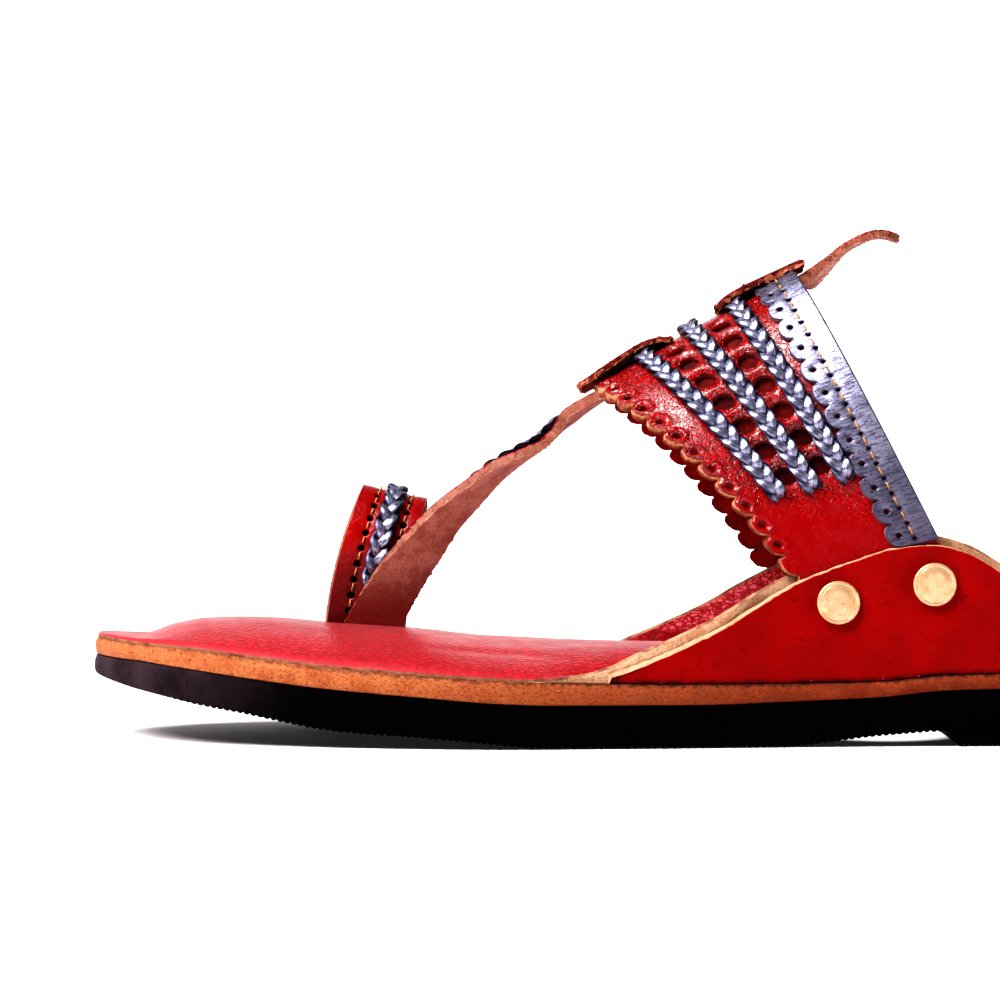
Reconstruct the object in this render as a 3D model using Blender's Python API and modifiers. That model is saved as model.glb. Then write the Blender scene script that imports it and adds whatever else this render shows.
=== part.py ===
"""Kolhapuri sandal, left shoe: rubber sole, tan midsole, padded red insole, riveted ears, trimmed straps.

Sizes are in millimetres until a piece is placed. The toe points to -X, the outer (lateral) side of the foot
is -Y, the floor is Z = 0, and the origin is under the middle of the sole.
"""

import math

import bmesh
import bpy
import numpy as np
from mathutils import Matrix, Vector

MM = 0.001
GAP = 0.3  # room left between pieces that touch
LENGTH = 255.0
BALL_WIDTH = 88.0

# Sole outline seen from above, from the toe tip along the lateral side to the heel and back: x, y
HEEL_POINT = 9
OUTLINE = (
    (-127.5, 7.0),
    (-117.0, -17.0),
    (-95.0, -33.0),
    (-50.0, -43.5),
    (-10.0, -41.0),
    (30.0, -35.5),
    (70.0, -33.0),
    (98.0, -29.5),
    (118.0, -18.5),
    (127.5, 0.5),
    (118.0, 19.5),
    (98.0, 29.5),
    (65.0, 31.5),
    (30.0, 31.0),
    (-5.0, 35.5),
    (-48.0, 43.5),
    (-85.0, 43.0),
    (-112.0, 33.0),
    (-124.0, 20.0),
)
OUTLINE_STEPS = 5

# Heights of the sole's layers at stations along the shoe
SOLE_COLUMNS = ("x", "tread", "outsole_top", "midsole_top", "crest")
SOLE_SECTIONS = (
    (-127.5, 13.6, 17.5, 21.4, 22.6),
    (-117.0, 11.6, 17.3, 20.8, 22.0),
    (-110.0, 10.3, 16.6, 20.4, 24.3),
    (-103.0, 8.9, 15.8, 20.0, 25.5),
    (-93.0, 7.3, 14.5, 18.8, 25.7),
    (-75.0, 4.1, 12.4, 16.9, 24.6),
    (-55.0, 2.4, 10.8, 15.4, 23.2),
    (-40.0, 0.9, 9.6, 14.4, 21.6),
    (-28.0, 0.0, 9.1, 13.9, 21.2),
    (5.0, 0.0, 9.0, 13.3, 20.4),
    (22.0, 0.0, 9.5, 13.3, 20.1),
    (43.0, 2.1, 10.4, 13.7, 20.2),
    (58.0, 3.1, 11.8, 15.0, 20.6),
    (100.0, 3.8, 12.5, 15.7, 21.4),
    (118.0, 4.0, 12.8, 16.0, 18.2),
    (127.5, 4.1, 12.9, 16.1, 17.3),
)
INSOLE_EDGE = 1.2  # bare leather edge of the insole
PAD_ROUND = 2.4  # how full the pad is across the shoe
SOLE_CUT = 9.0  # spacing of the sole's sections
HEEL_BREAST = 58.0
HEEL_SLANT = 1.6

# Ears: top edges of the outer layer and of the insole leather turned up behind it
EAR_COLUMNS = ("x", "outer", "inner")
EAR_EDGE = (
    (-15.0, 15.4, 17.4),
    (-7.7, 18.0, 19.9),
    (0.0, 21.2, 23.2),
    (8.7, 25.2, 27.4),
    (16.0, 29.6, 31.8),
    (25.6, 35.0, 36.6),
    (37.9, 39.6, 40.6),
    (46.2, 42.1, 43.2),
    (54.0, 42.8, 44.0),
    (62.0, 40.9, 42.1),
    (68.0, 37.5, 38.8),
    (76.5, 31.1, 32.4),
    (85.0, 22.8, 24.2),
    (91.0, 17.2, 18.6),
)
EAR_WALL = 1.6
EAR_INSET = 0.7  # from the sole's edge to the ear's outer face
FLAP_WALL = 1.5
FLAP_PARTS = (8.0, 20.0)  # x over which the layers part in front of the band's end
FLAP_MEETS = (64.0, 80.0)  # and meet again behind it
FLAP_ROOM = 0.2  # extra room between the layers where no band end is between them
PAD_NARROWS = (8.0, 16.0)  # before and behind the ears
EAR_CUT = 6.0
RIVETS = (("front", 33.9, 30.5), ("rear", 54.5, 34.3))
CAP_RADIUS = 4.65
CAP_HEIGHT = 1.1
SHANK_RADIUS = 1.7
BURR_RADIUS = 3.2
BURR_HEIGHT = 0.8
RIVET_SIDES = 18
BIT_SIDES = 12
BIT_LENGTH = 24.0

# Instep band: its front and rear edges at the top of the foot and where they enter the ears (x, z)
FRONT_TOP = Vector((-18.0, 76.6))
FRONT_BASE = Vector((22.0, 35.5))
REAR_TOP = Vector((27.3, 103.3))
REAR_BASE = Vector((55.8, 43.6))
FRONT_BOW = 1.3  # how far the front edge bulges up and back between them
BAND_WALL = 2.2
BAND_ROUND = 2.25  # 2 is an ellipse, larger is squarer
GIRTH = 78.0  # half of the band's girth, from the top of the foot to the ear
WIDTH = 45.0  # width of the band's pattern
TUCK = 1.2  # how far the ends reach, as a share of GIRTH
END_SLOPE = 1.5  # the front edge of the ends, on the pattern
EDGE_STEP = 12.0  # spacing of points along the rear edge
SCALLOPS = 28
SCALLOP_DEPTH = 1.7
TRIM_WIDTH = 10.0
TRIM_WALL = 0.9
TRIM_END = 0.975
TRIM_SCALLOPS = 27
HOLE_RADIUS = 2.2
HOLE_SIDES = 9
BAND_CUT_U = 6.5
BAND_CUT_V = 9.0

# Rows across the band: share of the width at the top of the foot and low on the side, and where the row ends
PLAIT_ROWS = (
    ("braid_front", 0.25, 0.29, 0.76),
    ("braid_middle", 0.49, 0.48, 0.77),
    ("braid_rear", 0.705, 0.68, 0.77),
)
HOLE_ROWS = ((0.375, 0.395), (0.605, 0.59))
ROW_HOLES = 7
ROW_FIRST = 0.13
ROW_STEP = 0.095
PLAIT_WIDTH = 3.4
PLAIT_HEIGHT = 1.6
PLAIT_EDGE = 0.6
PLAIT_CUT = 4.5

# Keeper woven over the band: share of the band's width, and height of its middle over the band
KEEPER_WALL = 1.3
KEEPER_WIDTH = 12.0
KEEPERS = (
    ((-0.07, -1.6), (-0.02, 1.2), (0.08, 2.9), (0.26, 3.3), (0.36, 2.0), (0.42, -1.2)),
    ((0.60, -1.2), (0.645, 1.6), (0.73, 3.2), (0.86, 2.6), (0.98, 2.4), (1.045, 1.0), (1.06, -1.2)),
)
KEEPER_STEPS = 14

# T-strap from the toe slit to the band: x, y, z, roll in degrees
STRAP_FOOT = (
    (-68.6, 8.4, 19.6, 88.0),
    (-64.6, 8.3, 27.0, 82.0),
    (-60.2, 8.0, 34.6, 62.0),
    (-54.2, 7.2, 42.6, 44.0),
    (-50.0, 6.5, 47.8, 35.0),
    (-44.4, 5.4, 53.0, 25.0),
    (-39.5, 4.4, 57.4, 17.0),
    (-34.3, 3.4, 60.7, 8.0),
    (-29.4, 2.4, 63.4, 0.0),
    (-25.7, 1.6, 66.8, 0.0),
    (-22.6, 0.9, 70.2, 10.0),
)
STRAP_UNDER = (0.04, 0.5, 0.97)  # share of the band's width, along its underside
STRAP_TAIL = (
    (33.2, 0.0, 103.5, 4.0),
    (36.9, 0.0, 106.5, 8.0),
    (42.4, 0.0, 109.5, 8.0),
    (45.8, 0.0, 110.2, 6.0),
    (50.0, 0.0, 109.4, 4.0),
)
STRAP_WIDTH = 11.6
STRAP_WALL = 2.2
STRAP_CUT = 4.0
STRAP_STEPS = 4
STRAP_SINK = 0.5  # shared with the band where they are joined
STRAP_UNDER_ROLL = 4.0
STRAP_PLAIT = (33.0, 69.0)  # along the strap
ROOT_LEAN = 0.46  # the root is cut level, across a strap that leans
TAIL_TAPER = 3.0

# Toe ring: an arch over the big toe, leaning back
RING_NEAR = 9.0
RING_FAR = 35.5
RING_X = -68.2  # middle of the strip where it leaves the insole
RING_BASE = 23.0
RING_SPRING = 39.0  # where the legs start to curve
RING_TOP = 53.2
RING_FOOT = 19.6
RING_LEAN = math.radians(12.5)
RING_WIDTH = 15.6
RING_WALL = 2.2
RING_FLARE = 0.14  # how much wider the strip is at its foot
RING_ROOT = 4.0  # spare length below the foot
RING_CUT = 4.0
RING_PLAIT_WIDTH = 4.0
RING_PLAIT_START = 17.0  # above the crossing with the T-strap
RING_PLAIT_END = 4.5
SLIT_FLOOR = 18.9
SLIT_X = -68.6
SLIT_LENGTH = 20.2
SLIT_HEIGHT = 20.0
SLIT_ROOM = 0.5  # round a leg
STRAP_BESIDE = 2.4  # room for the T-strap's root beside the near leg

# Red, green, blue, roughness and metallic value
COLOURS = {
    "rubber": (0.012, 0.010, 0.012, 0.75, 0.0),
    "tan": (0.50, 0.20, 0.06, 0.65, 0.0),
    "red": (0.52, 0.010, 0.016, 0.38, 0.0),
    "silver": (0.42, 0.42, 0.50, 0.35, 0.6),
    "brass": (0.62, 0.46, 0.26, 0.25, 1.0),
}


def smooth_columns(columns, rows):
    """A smooth function of the first column for each other column, with no overshoot between rows."""
    table = np.array(rows, float)
    return {name: smooth(table[:, 0], table[:, i]) for i, name in enumerate(columns) if i}


def smooth(places, values):
    step = np.diff(places)
    slope = np.diff(values) / step
    tangent = np.concatenate(([slope[0]], np.zeros(len(slope) - 1), [slope[-1]]))
    for i in range(1, len(slope)):
        if slope[i - 1] * slope[i] > 0:
            tangent[i] = 2 * slope[i - 1] * slope[i] / (slope[i - 1] + slope[i])

    def value(place):
        place = min(max(place, places[0]), places[-1])
        i = min(int(np.searchsorted(places, place, side="right")) - 1, len(step) - 1)
        t = (place - places[i]) / step[i]
        rise = (1 - t) * tangent[i] - t * tangent[i + 1] + (2 * t - 1) * slope[i]
        return values[i] + t * (values[i + 1] - values[i]) + t * (1 - t) * step[i] * rise

    return value


def through(points, steps, closed=False):
    """Points on a smooth curve through the given points."""
    points = [Vector(p) for p in points]
    count = len(points)
    found = []
    for i in range(count if closed else count - 1):
        if closed:
            a, b, c, d = (points[(i + k) % count] for k in (-1, 0, 1, 2))
        else:
            b, c = points[i], points[i + 1]
            a = points[i - 1] if i else 2 * b - c
            d = points[i + 2] if i + 2 < count else 2 * c - b
        for k in range(steps):
            t = k / steps
            found.append(b + (c - a) * (t / 2) + (2 * a - 5 * b + 4 * c - d) * (t * t / 2)
                         + (3 * b - a - 3 * c + d) * (t**3 / 2))
    return found if closed else [*found, points[-1]]


def blend(start, end, x):
    """0 before start, 1 after end, and smooth between."""
    t = min(max((x - start) / (end - start), 0.0), 1.0)
    return t * t * (3 - 2 * t)


def sole_outline():
    """The outline, fitted to the length and the ball width."""
    points = np.array(through(OUTLINE, OUTLINE_STEPS, closed=True))
    low, high = points.min(axis=0), points.max(axis=0)
    return (points - (low + high) / 2) * (LENGTH, BALL_WIDTH) / (high - low)


SOLE = sole_outline()
HEEL_INDEX = HEEL_POINT * OUTLINE_STEPS
LEVEL = smooth_columns(SOLE_COLUMNS, SOLE_SECTIONS)
EAR = smooth_columns(EAR_COLUMNS, EAR_EDGE)
EAR_FRONT, EAR_REAR = EAR_EDGE[0][0], EAR_EDGE[-1][0]


def edge(side, x):
    """Distance of the sole's edge from the middle line: side -1 is lateral, 1 is medial."""
    half = SOLE[: HEEL_INDEX + 1] if side < 0 else np.vstack([SOLE[HEEL_INDEX:], SOLE[:1]])[::-1]
    return side * float(np.interp(x, half[:, 0], half[:, 1]))


def flap_inset(x):
    """Depth of the insole's turned-up layer behind the sole's edge, with room for the ends of the band."""
    opened = blend(*FLAP_PARTS, x) * (1 - blend(*FLAP_MEETS, x))
    return EAR_INSET + EAR_WALL + GAP + FLAP_ROOM + opened * (BAND_WALL + GAP - FLAP_ROOM)


def insole_inset(x):
    """Depth of the bed's edge behind the sole's edge: the ears stand between them."""
    close, away = PAD_NARROWS
    beside = blend(EAR_FRONT - away, EAR_FRONT - close, x) * (1 - blend(EAR_REAR + close, EAR_REAR + away, x))
    return GAP + (EAR_INSET + EAR_WALL) * beside


def pad_top(x, y):
    """Height of the insole's upper face: a crown that falls to the bare edge."""
    side = -1 if y < 0 else 1
    across = min(abs(y) / max(edge(side, x) - insole_inset(x), 1.0), 1.0)
    rim = LEVEL["midsole_top"](x) + INSOLE_EDGE
    return rim + max(LEVEL["crest"](x) - rim, 0.0) * (1 - across**PAD_ROUND)


def spread(start, end, spacing):
    count = max(1, math.ceil(abs(end - start) / spacing))
    return [start + (end - start) * i / count for i in range(1, count)]


def flat_panel(loops, cuts_u, cuts_v):
    """A flat piece one unit thick, cut along its outline and holes, with edges added where it will bend."""
    curve = bpy.data.curves.new("pattern", "CURVE")
    curve.dimensions = "2D"
    curve.fill_mode = "BOTH"
    curve.extrude = 0.5
    for loop in loops:
        spline = curve.splines.new("POLY")
        spline.points.add(len(loop) - 1)
        spline.use_cyclic_u = True
        for point, (u, v) in zip(spline.points, loop):
            point.co = (u, v, 0, 1)
    pattern = bpy.data.objects.new("pattern", curve)
    bpy.context.scene.collection.objects.link(pattern)
    graph = bpy.context.evaluated_depsgraph_get()
    mesh = bpy.data.meshes.new_from_object(pattern.evaluated_get(graph))
    bpy.data.objects.remove(pattern)
    panel = bmesh.new()
    panel.from_mesh(mesh)
    bpy.data.meshes.remove(mesh)
    bmesh.ops.remove_doubles(panel, verts=panel.verts, dist=0.001)
    for axis, cuts in ((Vector((1, 0, 0)), cuts_u), (Vector((0, 1, 0)), cuts_v)):
        for cut in cuts:
            whole = [*panel.verts, *panel.edges, *panel.faces]
            found = bmesh.ops.bisect_plane(panel, geom=whole, dist=0.001, plane_co=axis * cut, plane_no=axis)
            for made in found["geom_cut"]:
                if isinstance(made, bmesh.types.BMEdge):
                    made.seam = True
    bmesh.ops.dissolve_limit(panel, angle_limit=0.001, verts=panel.verts, edges=panel.edges, delimit={"SEAM"})
    bmesh.ops.triangulate(panel, faces=panel.faces)
    return panel


def bend(panel, place):
    """Moves each point of a flat panel, given as u, v and depth from 0 to 1, to its place on the shoe."""
    for vert in panel.verts:
        vert.co = place(vert.co.x, vert.co.y, vert.co.z + 0.5) * MM
    bmesh.ops.recalc_face_normals(panel, faces=panel.faces)
    if panel.calc_volume(signed=True) < 0:
        bmesh.ops.reverse_faces(panel, faces=panel.faces)
    return panel


def material(name):
    found = bpy.data.materials.get(name)
    if found is None:
        red, green, blue, roughness, metallic = COLOURS[name]
        found = bpy.data.materials.new(name)
        found.use_nodes = True
        shader = found.node_tree.nodes["Principled BSDF"]
        shader.inputs["Base Color"].default_value = (red, green, blue, 1.0)
        shader.inputs["Roughness"].default_value = roughness
        shader.inputs["Metallic"].default_value = metallic
    return found


def add_object(name, panel, finish, collection):
    mesh = bpy.data.meshes.new(name)
    panel.to_mesh(mesh)
    panel.free()
    mesh.shade_smooth()
    mesh.set_sharp_from_angle(angle=math.radians(35))
    mesh.materials.append(material(finish))
    made = bpy.data.objects.new(name, mesh)
    collection.objects.link(made)
    if collection is CUTTERS:
        made.hide_render = True
        made.display_type = "WIRE"
    return made


def boolean(target, operation, tool):
    step = target.modifiers.new(f"{operation.lower()} {tool.name}", "BOOLEAN")
    step.operation = operation
    step.object = tool
    return step


def on_surface(surface, u, v, height):
    """A point at a height over a sheet that surface(u, v) describes."""
    small = 0.4
    along = surface(u + small, v) - surface(u - small, v)
    over = surface(u, v + small) - surface(u, v - small)
    return surface(u, v) + over.cross(along).normalized() * height


def wall(loops, cuts_u, cuts_v, surface, low, high):
    """A sheet of leather laid on a surface, between two heights over it."""
    panel = flat_panel(loops, cuts_u, cuts_v)

    def place(u, v, depth):
        top = high(u, v) if callable(high) else high
        bottom = low(u, v) if callable(low) else low
        return on_surface(surface, u, v, bottom + depth * (top - bottom))

    return bend(panel, place)


def rectangle(u0, u1, v0, v1):
    return [(u0, v0), (u1, v0), (u1, v1), (u0, v1)]


# Sole

def slab(outline, low, high, cuts_x, cuts_y):
    """A layer of the sole between two height functions of x and y."""
    panel = flat_panel([outline], cuts_x, cuts_y)
    return bend(panel, lambda x, y, t: Vector((x, y, low(x, y) + t * (high(x, y) - low(x, y)))))


def sole_layer(name, low, high, finish):
    cuts = spread(-LENGTH / 2, LENGTH / 2, SOLE_CUT)
    flats = [x for x, tread, *_ in SOLE_SECTIONS if tread == 0.0]
    cuts = sorted([*cuts, min(flats), max(flats)])
    add_object(name, slab(SOLE, low, high, cuts, []), finish, PARTS)


def heel_lift():
    behind = [tuple(p) for p in SOLE if p[0] > HEEL_BREAST + 1]
    front = [(HEEL_BREAST, -edge(-1, HEEL_BREAST)), (HEEL_BREAST, edge(1, HEEL_BREAST))]
    outline = [front[0], *behind, front[1]]

    def top(x, y):
        return LEVEL["tread"](x) - GAP

    panel = slab(outline, lambda x, y: 0.0, top, spread(HEEL_BREAST, LENGTH / 2, SOLE_CUT), [])
    for vert in panel.verts:
        if vert.co.x < HEEL_BREAST * MM + 1e-5 and vert.co.z < 1e-5:
            vert.co.x += HEEL_SLANT * MM
    add_object("heel_lift", panel, "rubber", PARTS)


def insole():
    """Padded bed with a layer turned up on each side, and slits for the toe ring and the T-strap."""
    inner = [(x, math.copysign(abs(y) * (1 - insole_inset(x) / max(edge(-1 if y < 0 else 1, x), 6.0)), y))
             for x, y in SOLE * ((LENGTH - 2 * GAP) / LENGTH, 1.0)]
    cuts_x = spread(-LENGTH / 2, LENGTH / 2, SOLE_CUT)
    cuts_y = spread(-BALL_WIDTH / 2, BALL_WIDTH / 2, SOLE_CUT)
    bed = slab(inner, lambda x, y: LEVEL["midsole_top"](x) + GAP, pad_top, cuts_x, cuts_y)
    made = add_object("insole", bed, "red", PARTS)
    for side, word in ((-1, "lateral"), (1, "medial")):
        flap = ear_sheet(f"flap_{word}", side, "inner", flap_inset, FLAP_WALL, 2 * GAP, CUTTERS)
        boolean(made, "UNION", flap)
    slits = {
        "near": (RING_NEAR - STRAP_BESIDE, RING_NEAR + RING_WALL),
        "far": (RING_FAR - RING_WALL, RING_FAR),
    }
    for word, (near, far) in slits.items():
        slit = bmesh.new()
        size = Vector((SLIT_LENGTH, far - near + 2 * SLIT_ROOM, SLIT_HEIGHT))
        middle = Vector((SLIT_X, (near + far) / 2, SLIT_FLOOR + SLIT_HEIGHT / 2))
        bmesh.ops.create_cube(slit, size=1.0, matrix=Matrix.LocRotScale(middle * MM, None, size * MM))
        boolean(made, "DIFFERENCE", add_object(f"slit_{word}", slit, "red", CUTTERS))
    drill(made)


# Ears

def ear_sheet(name, side, layer, inset, thickness, lift, collection):
    """A side piece that stands on the sole along its edge, up to its own top edge."""
    stations = [EAR_FRONT, *spread(EAR_FRONT, EAR_REAR, EAR_CUT / 1.5), EAR_REAR]
    low = [(x, LEVEL["midsole_top"](x) + lift) for x in stations]
    high = [(x, EAR[layer](x)) for x in reversed(stations)]
    panel = flat_panel([low + high], spread(EAR_FRONT, EAR_REAR, EAR_CUT), [])

    def place(x, z, depth):
        return Vector((x, side * (edge(side, x) - inset(x) - thickness * depth), z))

    return add_object(name, bend(panel, place), "red", collection)


def ears():
    for side, word in ((-1, "lateral"), (1, "medial")):
        drill(ear_sheet(f"ear_{word}", side, "outer", lambda x: EAR_INSET, EAR_WALL, GAP, PARTS))


def rivet_frame(side, x, z):
    """The rivet's axis points out of the ear, from the ear's outer face."""
    reach = 2.0
    slope = side * (edge(side, x + reach) - edge(side, x - reach)) / (2 * reach)
    out = Vector((-slope * side, side, 0)).normalized()
    turn = out.to_track_quat("Z", "Y").to_matrix().to_4x4()
    return Matrix.Translation(Vector((x, side * (edge(side, x) - EAR_INSET), z)) * MM) @ turn


def rivets():
    """Brass caps outside, a shank through the three layers, and a burr inside."""
    inside = EAR_WALL + BAND_WALL + FLAP_WALL + 3 * GAP
    profile = (
        (0.0, CAP_HEIGHT + GAP),
        (CAP_RADIUS * 0.75, CAP_HEIGHT + GAP - 0.08),
        (CAP_RADIUS * 0.94, CAP_HEIGHT * 0.7 + GAP),
        (CAP_RADIUS, GAP),
        (SHANK_RADIUS, GAP),
        (SHANK_RADIUS, -inside),
        (BURR_RADIUS, -inside),
        (BURR_RADIUS * 0.85, -inside - BURR_HEIGHT),
        (0.0, -inside - BURR_HEIGHT),
    )
    for side, word in ((-1, "lateral"), (1, "medial")):
        for place, x, z in RIVETS:
            name = f"rivet_{word}_{place}"
            turned = bmesh.new()
            points = [turned.verts.new(Vector((radius, 0, height)) * MM) for radius, height in profile]
            for a, b in zip(points, points[1:]):
                turned.edges.new((a, b))
            made = add_object(name, turned, "brass", PARTS)
            screw = made.modifiers.new("turn", "SCREW")
            screw.steps = screw.render_steps = RIVET_SIDES
            screw.use_merge_vertices = True
            screw.merge_threshold = 0.00001
            made.matrix_world = rivet_frame(side, x, z)


def rivet_holes():
    for side, word in ((-1, "lateral"), (1, "medial")):
        for place, x, z in RIVETS:
            bit = bmesh.new()
            wide = (SHANK_RADIUS + GAP) * MM
            bmesh.ops.create_cone(
                bit, cap_ends=True, segments=BIT_SIDES, radius1=wide, radius2=wide, depth=BIT_LENGTH * MM
            )
            add_object(f"hole_{word}_{place}", bit, "brass", BITS).matrix_world = rivet_frame(side, x, z)
    for bit in BITS.objects:
        bit.hide_render = True
        bit.display_type = "WIRE"


def drill(target):
    """Cuts the rivet holes that pass through a layer."""
    step = target.modifiers.new("rivet holes", "BOOLEAN")
    step.operation = "DIFFERENCE"
    step.operand_type = "COLLECTION"
    step.collection = BITS


# Instep band

def band_arch(side, share, steps=40):
    """Points of the band's outer face from the top of the foot to the ear, at a share of its width."""
    top = FRONT_TOP.lerp(REAR_TOP, share)
    base = FRONT_BASE.lerp(REAR_BASE, share)
    reach = edge(side, base.x) - EAR_INSET - EAR_WALL - GAP
    turn = np.linspace(0, math.pi / 2, steps)
    rise = np.cos(turn) ** (2 / BAND_ROUND)
    out = np.sin(turn) ** (2 / BAND_ROUND)
    bow = FRONT_BOW * (1 - share) * 4 * rise * (1 - rise)
    xs = base.x + (top.x - base.x) * rise + bow
    zs = base.y + (top.y - base.y) * rise + bow
    return np.column_stack([xs, side * reach * out, zs])


def band(u, v):
    """The band's outer face: u runs round the foot from lateral to medial, v from the front to the rear."""
    side = -1 if u < 0 else 1
    share = v / WIDTH
    arch = band_arch(side, share)
    run = np.concatenate(([0.0], np.cumsum(np.linalg.norm(np.diff(arch, axis=0), axis=1))))
    place = abs(u) / GIRTH * run[-1]
    if place <= run[-1]:
        return Vector([np.interp(place, run, arch[:, k]) for k in range(3)])
    top = FRONT_TOP.lerp(REAR_TOP, share)
    base = FRONT_BASE.lerp(REAR_BASE, share)
    x, z = base + (base - top).normalized() * (place - run[-1])
    return Vector((x, side * (edge(side, x) - EAR_INSET - EAR_WALL - GAP), z))


def width_at(u):
    """True width of the band over the width of its pattern."""
    return (band(u, WIDTH) - band(u, 0)).length / WIDTH


def row_v(row_top, row_low, u):
    """Where a row of plait or holes lies across the pattern."""
    return WIDTH * (row_top + (row_low - row_top) * abs(u) / GIRTH)


def scalloped(count, reach, depth, edge_v):
    """A row of round lobes along u, with their tips at v = edge_v(u)."""
    points = []
    for i in range(count):
        for share in (0.0, 0.17, 0.5, 0.83):
            u = reach * (2 * (i + share) / count - 1)
            dip = 1 - math.sqrt(1 - (2 * share - 1) ** 2)
            points.append((u, edge_v(u) + depth * dip / width_at(u)))
    return [*points, (reach, edge_v(reach) + depth / width_at(reach))]


def rear_edge(end):
    """Points of the band's rear edge, from the medial to the lateral end."""
    return [(u, WIDTH) for u in (end, *spread(end, -end, EDGE_STEP), -end)]


def band_holes():
    loops = []
    for row_top, row_low in HOLE_ROWS:
        for k in range(ROW_HOLES):
            for side in (-1, 1):
                u = side * GIRTH * (ROW_FIRST + ROW_STEP * k)
                v = row_v(row_top, row_low, u)
                flat = HOLE_RADIUS / width_at(u)
                angles = [2 * math.pi * i / HOLE_SIDES for i in range(HOLE_SIDES)]
                loops.append([(u + HOLE_RADIUS * math.cos(a), v + flat * math.sin(a)) for a in angles])
    return loops


def upper():
    """Band, T-strap, keeper and toe ring, joined where they cross."""
    end = TUCK * GIRTH
    front = scalloped(SCALLOPS, GIRTH, SCALLOP_DEPTH, lambda u: 0.0)
    outline = [(-end, END_SLOPE), *front, (end, END_SLOPE), *rear_edge(end)]
    cuts_u = spread(-end, end, BAND_CUT_U)
    sheet = wall([outline, *band_holes()], cuts_u, spread(0, WIDTH, BAND_CUT_V), band, -BAND_WALL, 0.0)
    made = add_object("upper", sheet, "red", PARTS)
    for i, rows in enumerate(KEEPERS):
        boolean(made, "UNION", keeper(f"keeper_{i + 1}", rows))
    boolean(made, "UNION", tstrap())
    boolean(made, "UNION", toe_ring())
    drill(made)


def rear_trim():
    end = TRIM_END * GIRTH
    front = scalloped(TRIM_SCALLOPS, end, SCALLOP_DEPTH, lambda u: WIDTH - TRIM_WIDTH / width_at(u))
    outline = [*front, *rear_edge(end)]
    sheet = wall([outline], spread(-end, end, BAND_CUT_U), [], band, GAP, GAP + TRIM_WALL)
    add_object("rear_trim", sheet, "silver", PARTS)


def plait(name, start, end, width, surface):
    """A plait laid on a sheet: a bar with a round back."""
    half = width / 2
    rows = [-half, -0.6 * half, 0.6 * half, half]

    def back(u, w):
        return GAP + PLAIT_EDGE + (PLAIT_HEIGHT - PLAIT_EDGE) * math.sqrt(max(0.0, 1 - (w / half) ** 2))

    outline = rectangle(start, end, -half, half)
    panel = wall([outline], spread(start, end, PLAIT_CUT), rows[1:-1], surface, GAP, back)
    add_object(name, panel, "silver", PARTS)


def band_plaits():
    for name, row_top, row_low, reach in PLAIT_ROWS:
        def surface(u, w, row_top=row_top, row_low=row_low):
            return band(u, row_v(row_top, row_low, u) + w / width_at(u))

        plait(name, -reach * GIRTH, reach * GIRTH, PLAIT_WIDTH, surface)


def keeper(name, rows):
    """A strip that rises through the band, bows over a plait and goes down again."""
    path = through(rows, 3)
    run = np.concatenate(([0.0], np.cumsum([(b - a).length for a, b in zip(path, path[1:])])))
    shares = [p.x for p in path]
    lifts = [p.y for p in path]

    def middle(u, s):
        share = float(np.interp(s, run, shares))
        return on_surface(band, u, share * WIDTH, float(np.interp(s, run, lifts)))

    half = KEEPER_WIDTH / 2
    outline = rectangle(-half, half, 0.0, run[-1])
    cuts = spread(0.0, run[-1], run[-1] / KEEPER_STEPS)
    panel = flat_panel([outline], spread(-half, half, half), cuts)

    def place(u, s, depth):
        small = run[-1] / 200
        ahead, behind = min(s + small, run[-1]), max(s - small, 0.0)
        along = middle(u, ahead) - middle(u, behind)
        across = middle(u + 0.4, s) - middle(u - 0.4, s)
        return middle(u, s) + along.cross(across).normalized() * KEEPER_WALL * (depth - 0.5)

    return add_object(name, bend(panel, place), "red", CUTTERS)


# T-strap

def strap_rows():
    under = []
    for share in STRAP_UNDER:
        depth = BAND_WALL + STRAP_WALL / 2 - STRAP_SINK
        under.append((*on_surface(band, 0.0, share * WIDTH, -depth), STRAP_UNDER_ROLL))
    return [*STRAP_FOOT, *under, *STRAP_TAIL]


def strap_path():
    """Points along the strap's middle with the roll in degrees, and the length run to each."""
    rows = strap_rows()
    places = through([row[:3] for row in rows], STRAP_STEPS)
    rolls = np.interp(np.arange(len(places)) / STRAP_STEPS, np.arange(len(rows)), [row[3] for row in rows])
    run = np.concatenate(([0.0], np.cumsum([(b - a).length for a, b in zip(places, places[1:])])))
    return np.array(places), rolls, run


def strap(u, v):
    """Middle of the strap's thickness: u from the toe slit to the tail, v towards the lateral edge."""
    places, rolls, run = STRAP_PATH

    def at(s):
        s = min(max(s, 0.0), run[-1])
        return Vector([np.interp(s, run, places[:, k]) for k in range(3)])

    along = (at(u + 2.0) - at(u - 2.0)).normalized()
    roll = math.radians(np.interp(u, run, rolls))
    upward = Vector((-along.z, 0, along.x)).normalized()
    over = Vector((0, -math.cos(roll), 0)) + upward * math.sin(roll)
    past = min(u, 0.0) + max(u - run[-1], 0.0)
    return at(u) + along * past + over * v


def tstrap():
    end = STRAP_PATH[2][-1]
    half = STRAP_WIDTH / 2
    taper = end - TAIL_TAPER
    outline = [
        (-half * ROOT_LEAN, half),
        (half * ROOT_LEAN, -half),
        (taper, -half),
        (end, -half / 2),
        (end, half / 2),
        (taper, half),
    ]
    cuts = spread(STRAP_CUT, end - STRAP_CUT, STRAP_CUT)
    panel = wall([outline], cuts, [0.0], strap, -STRAP_WALL / 2, STRAP_WALL / 2)
    return add_object("tstrap", panel, "red", CUTTERS)


STRAP_PATH = strap_path()


# Toe ring

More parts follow.
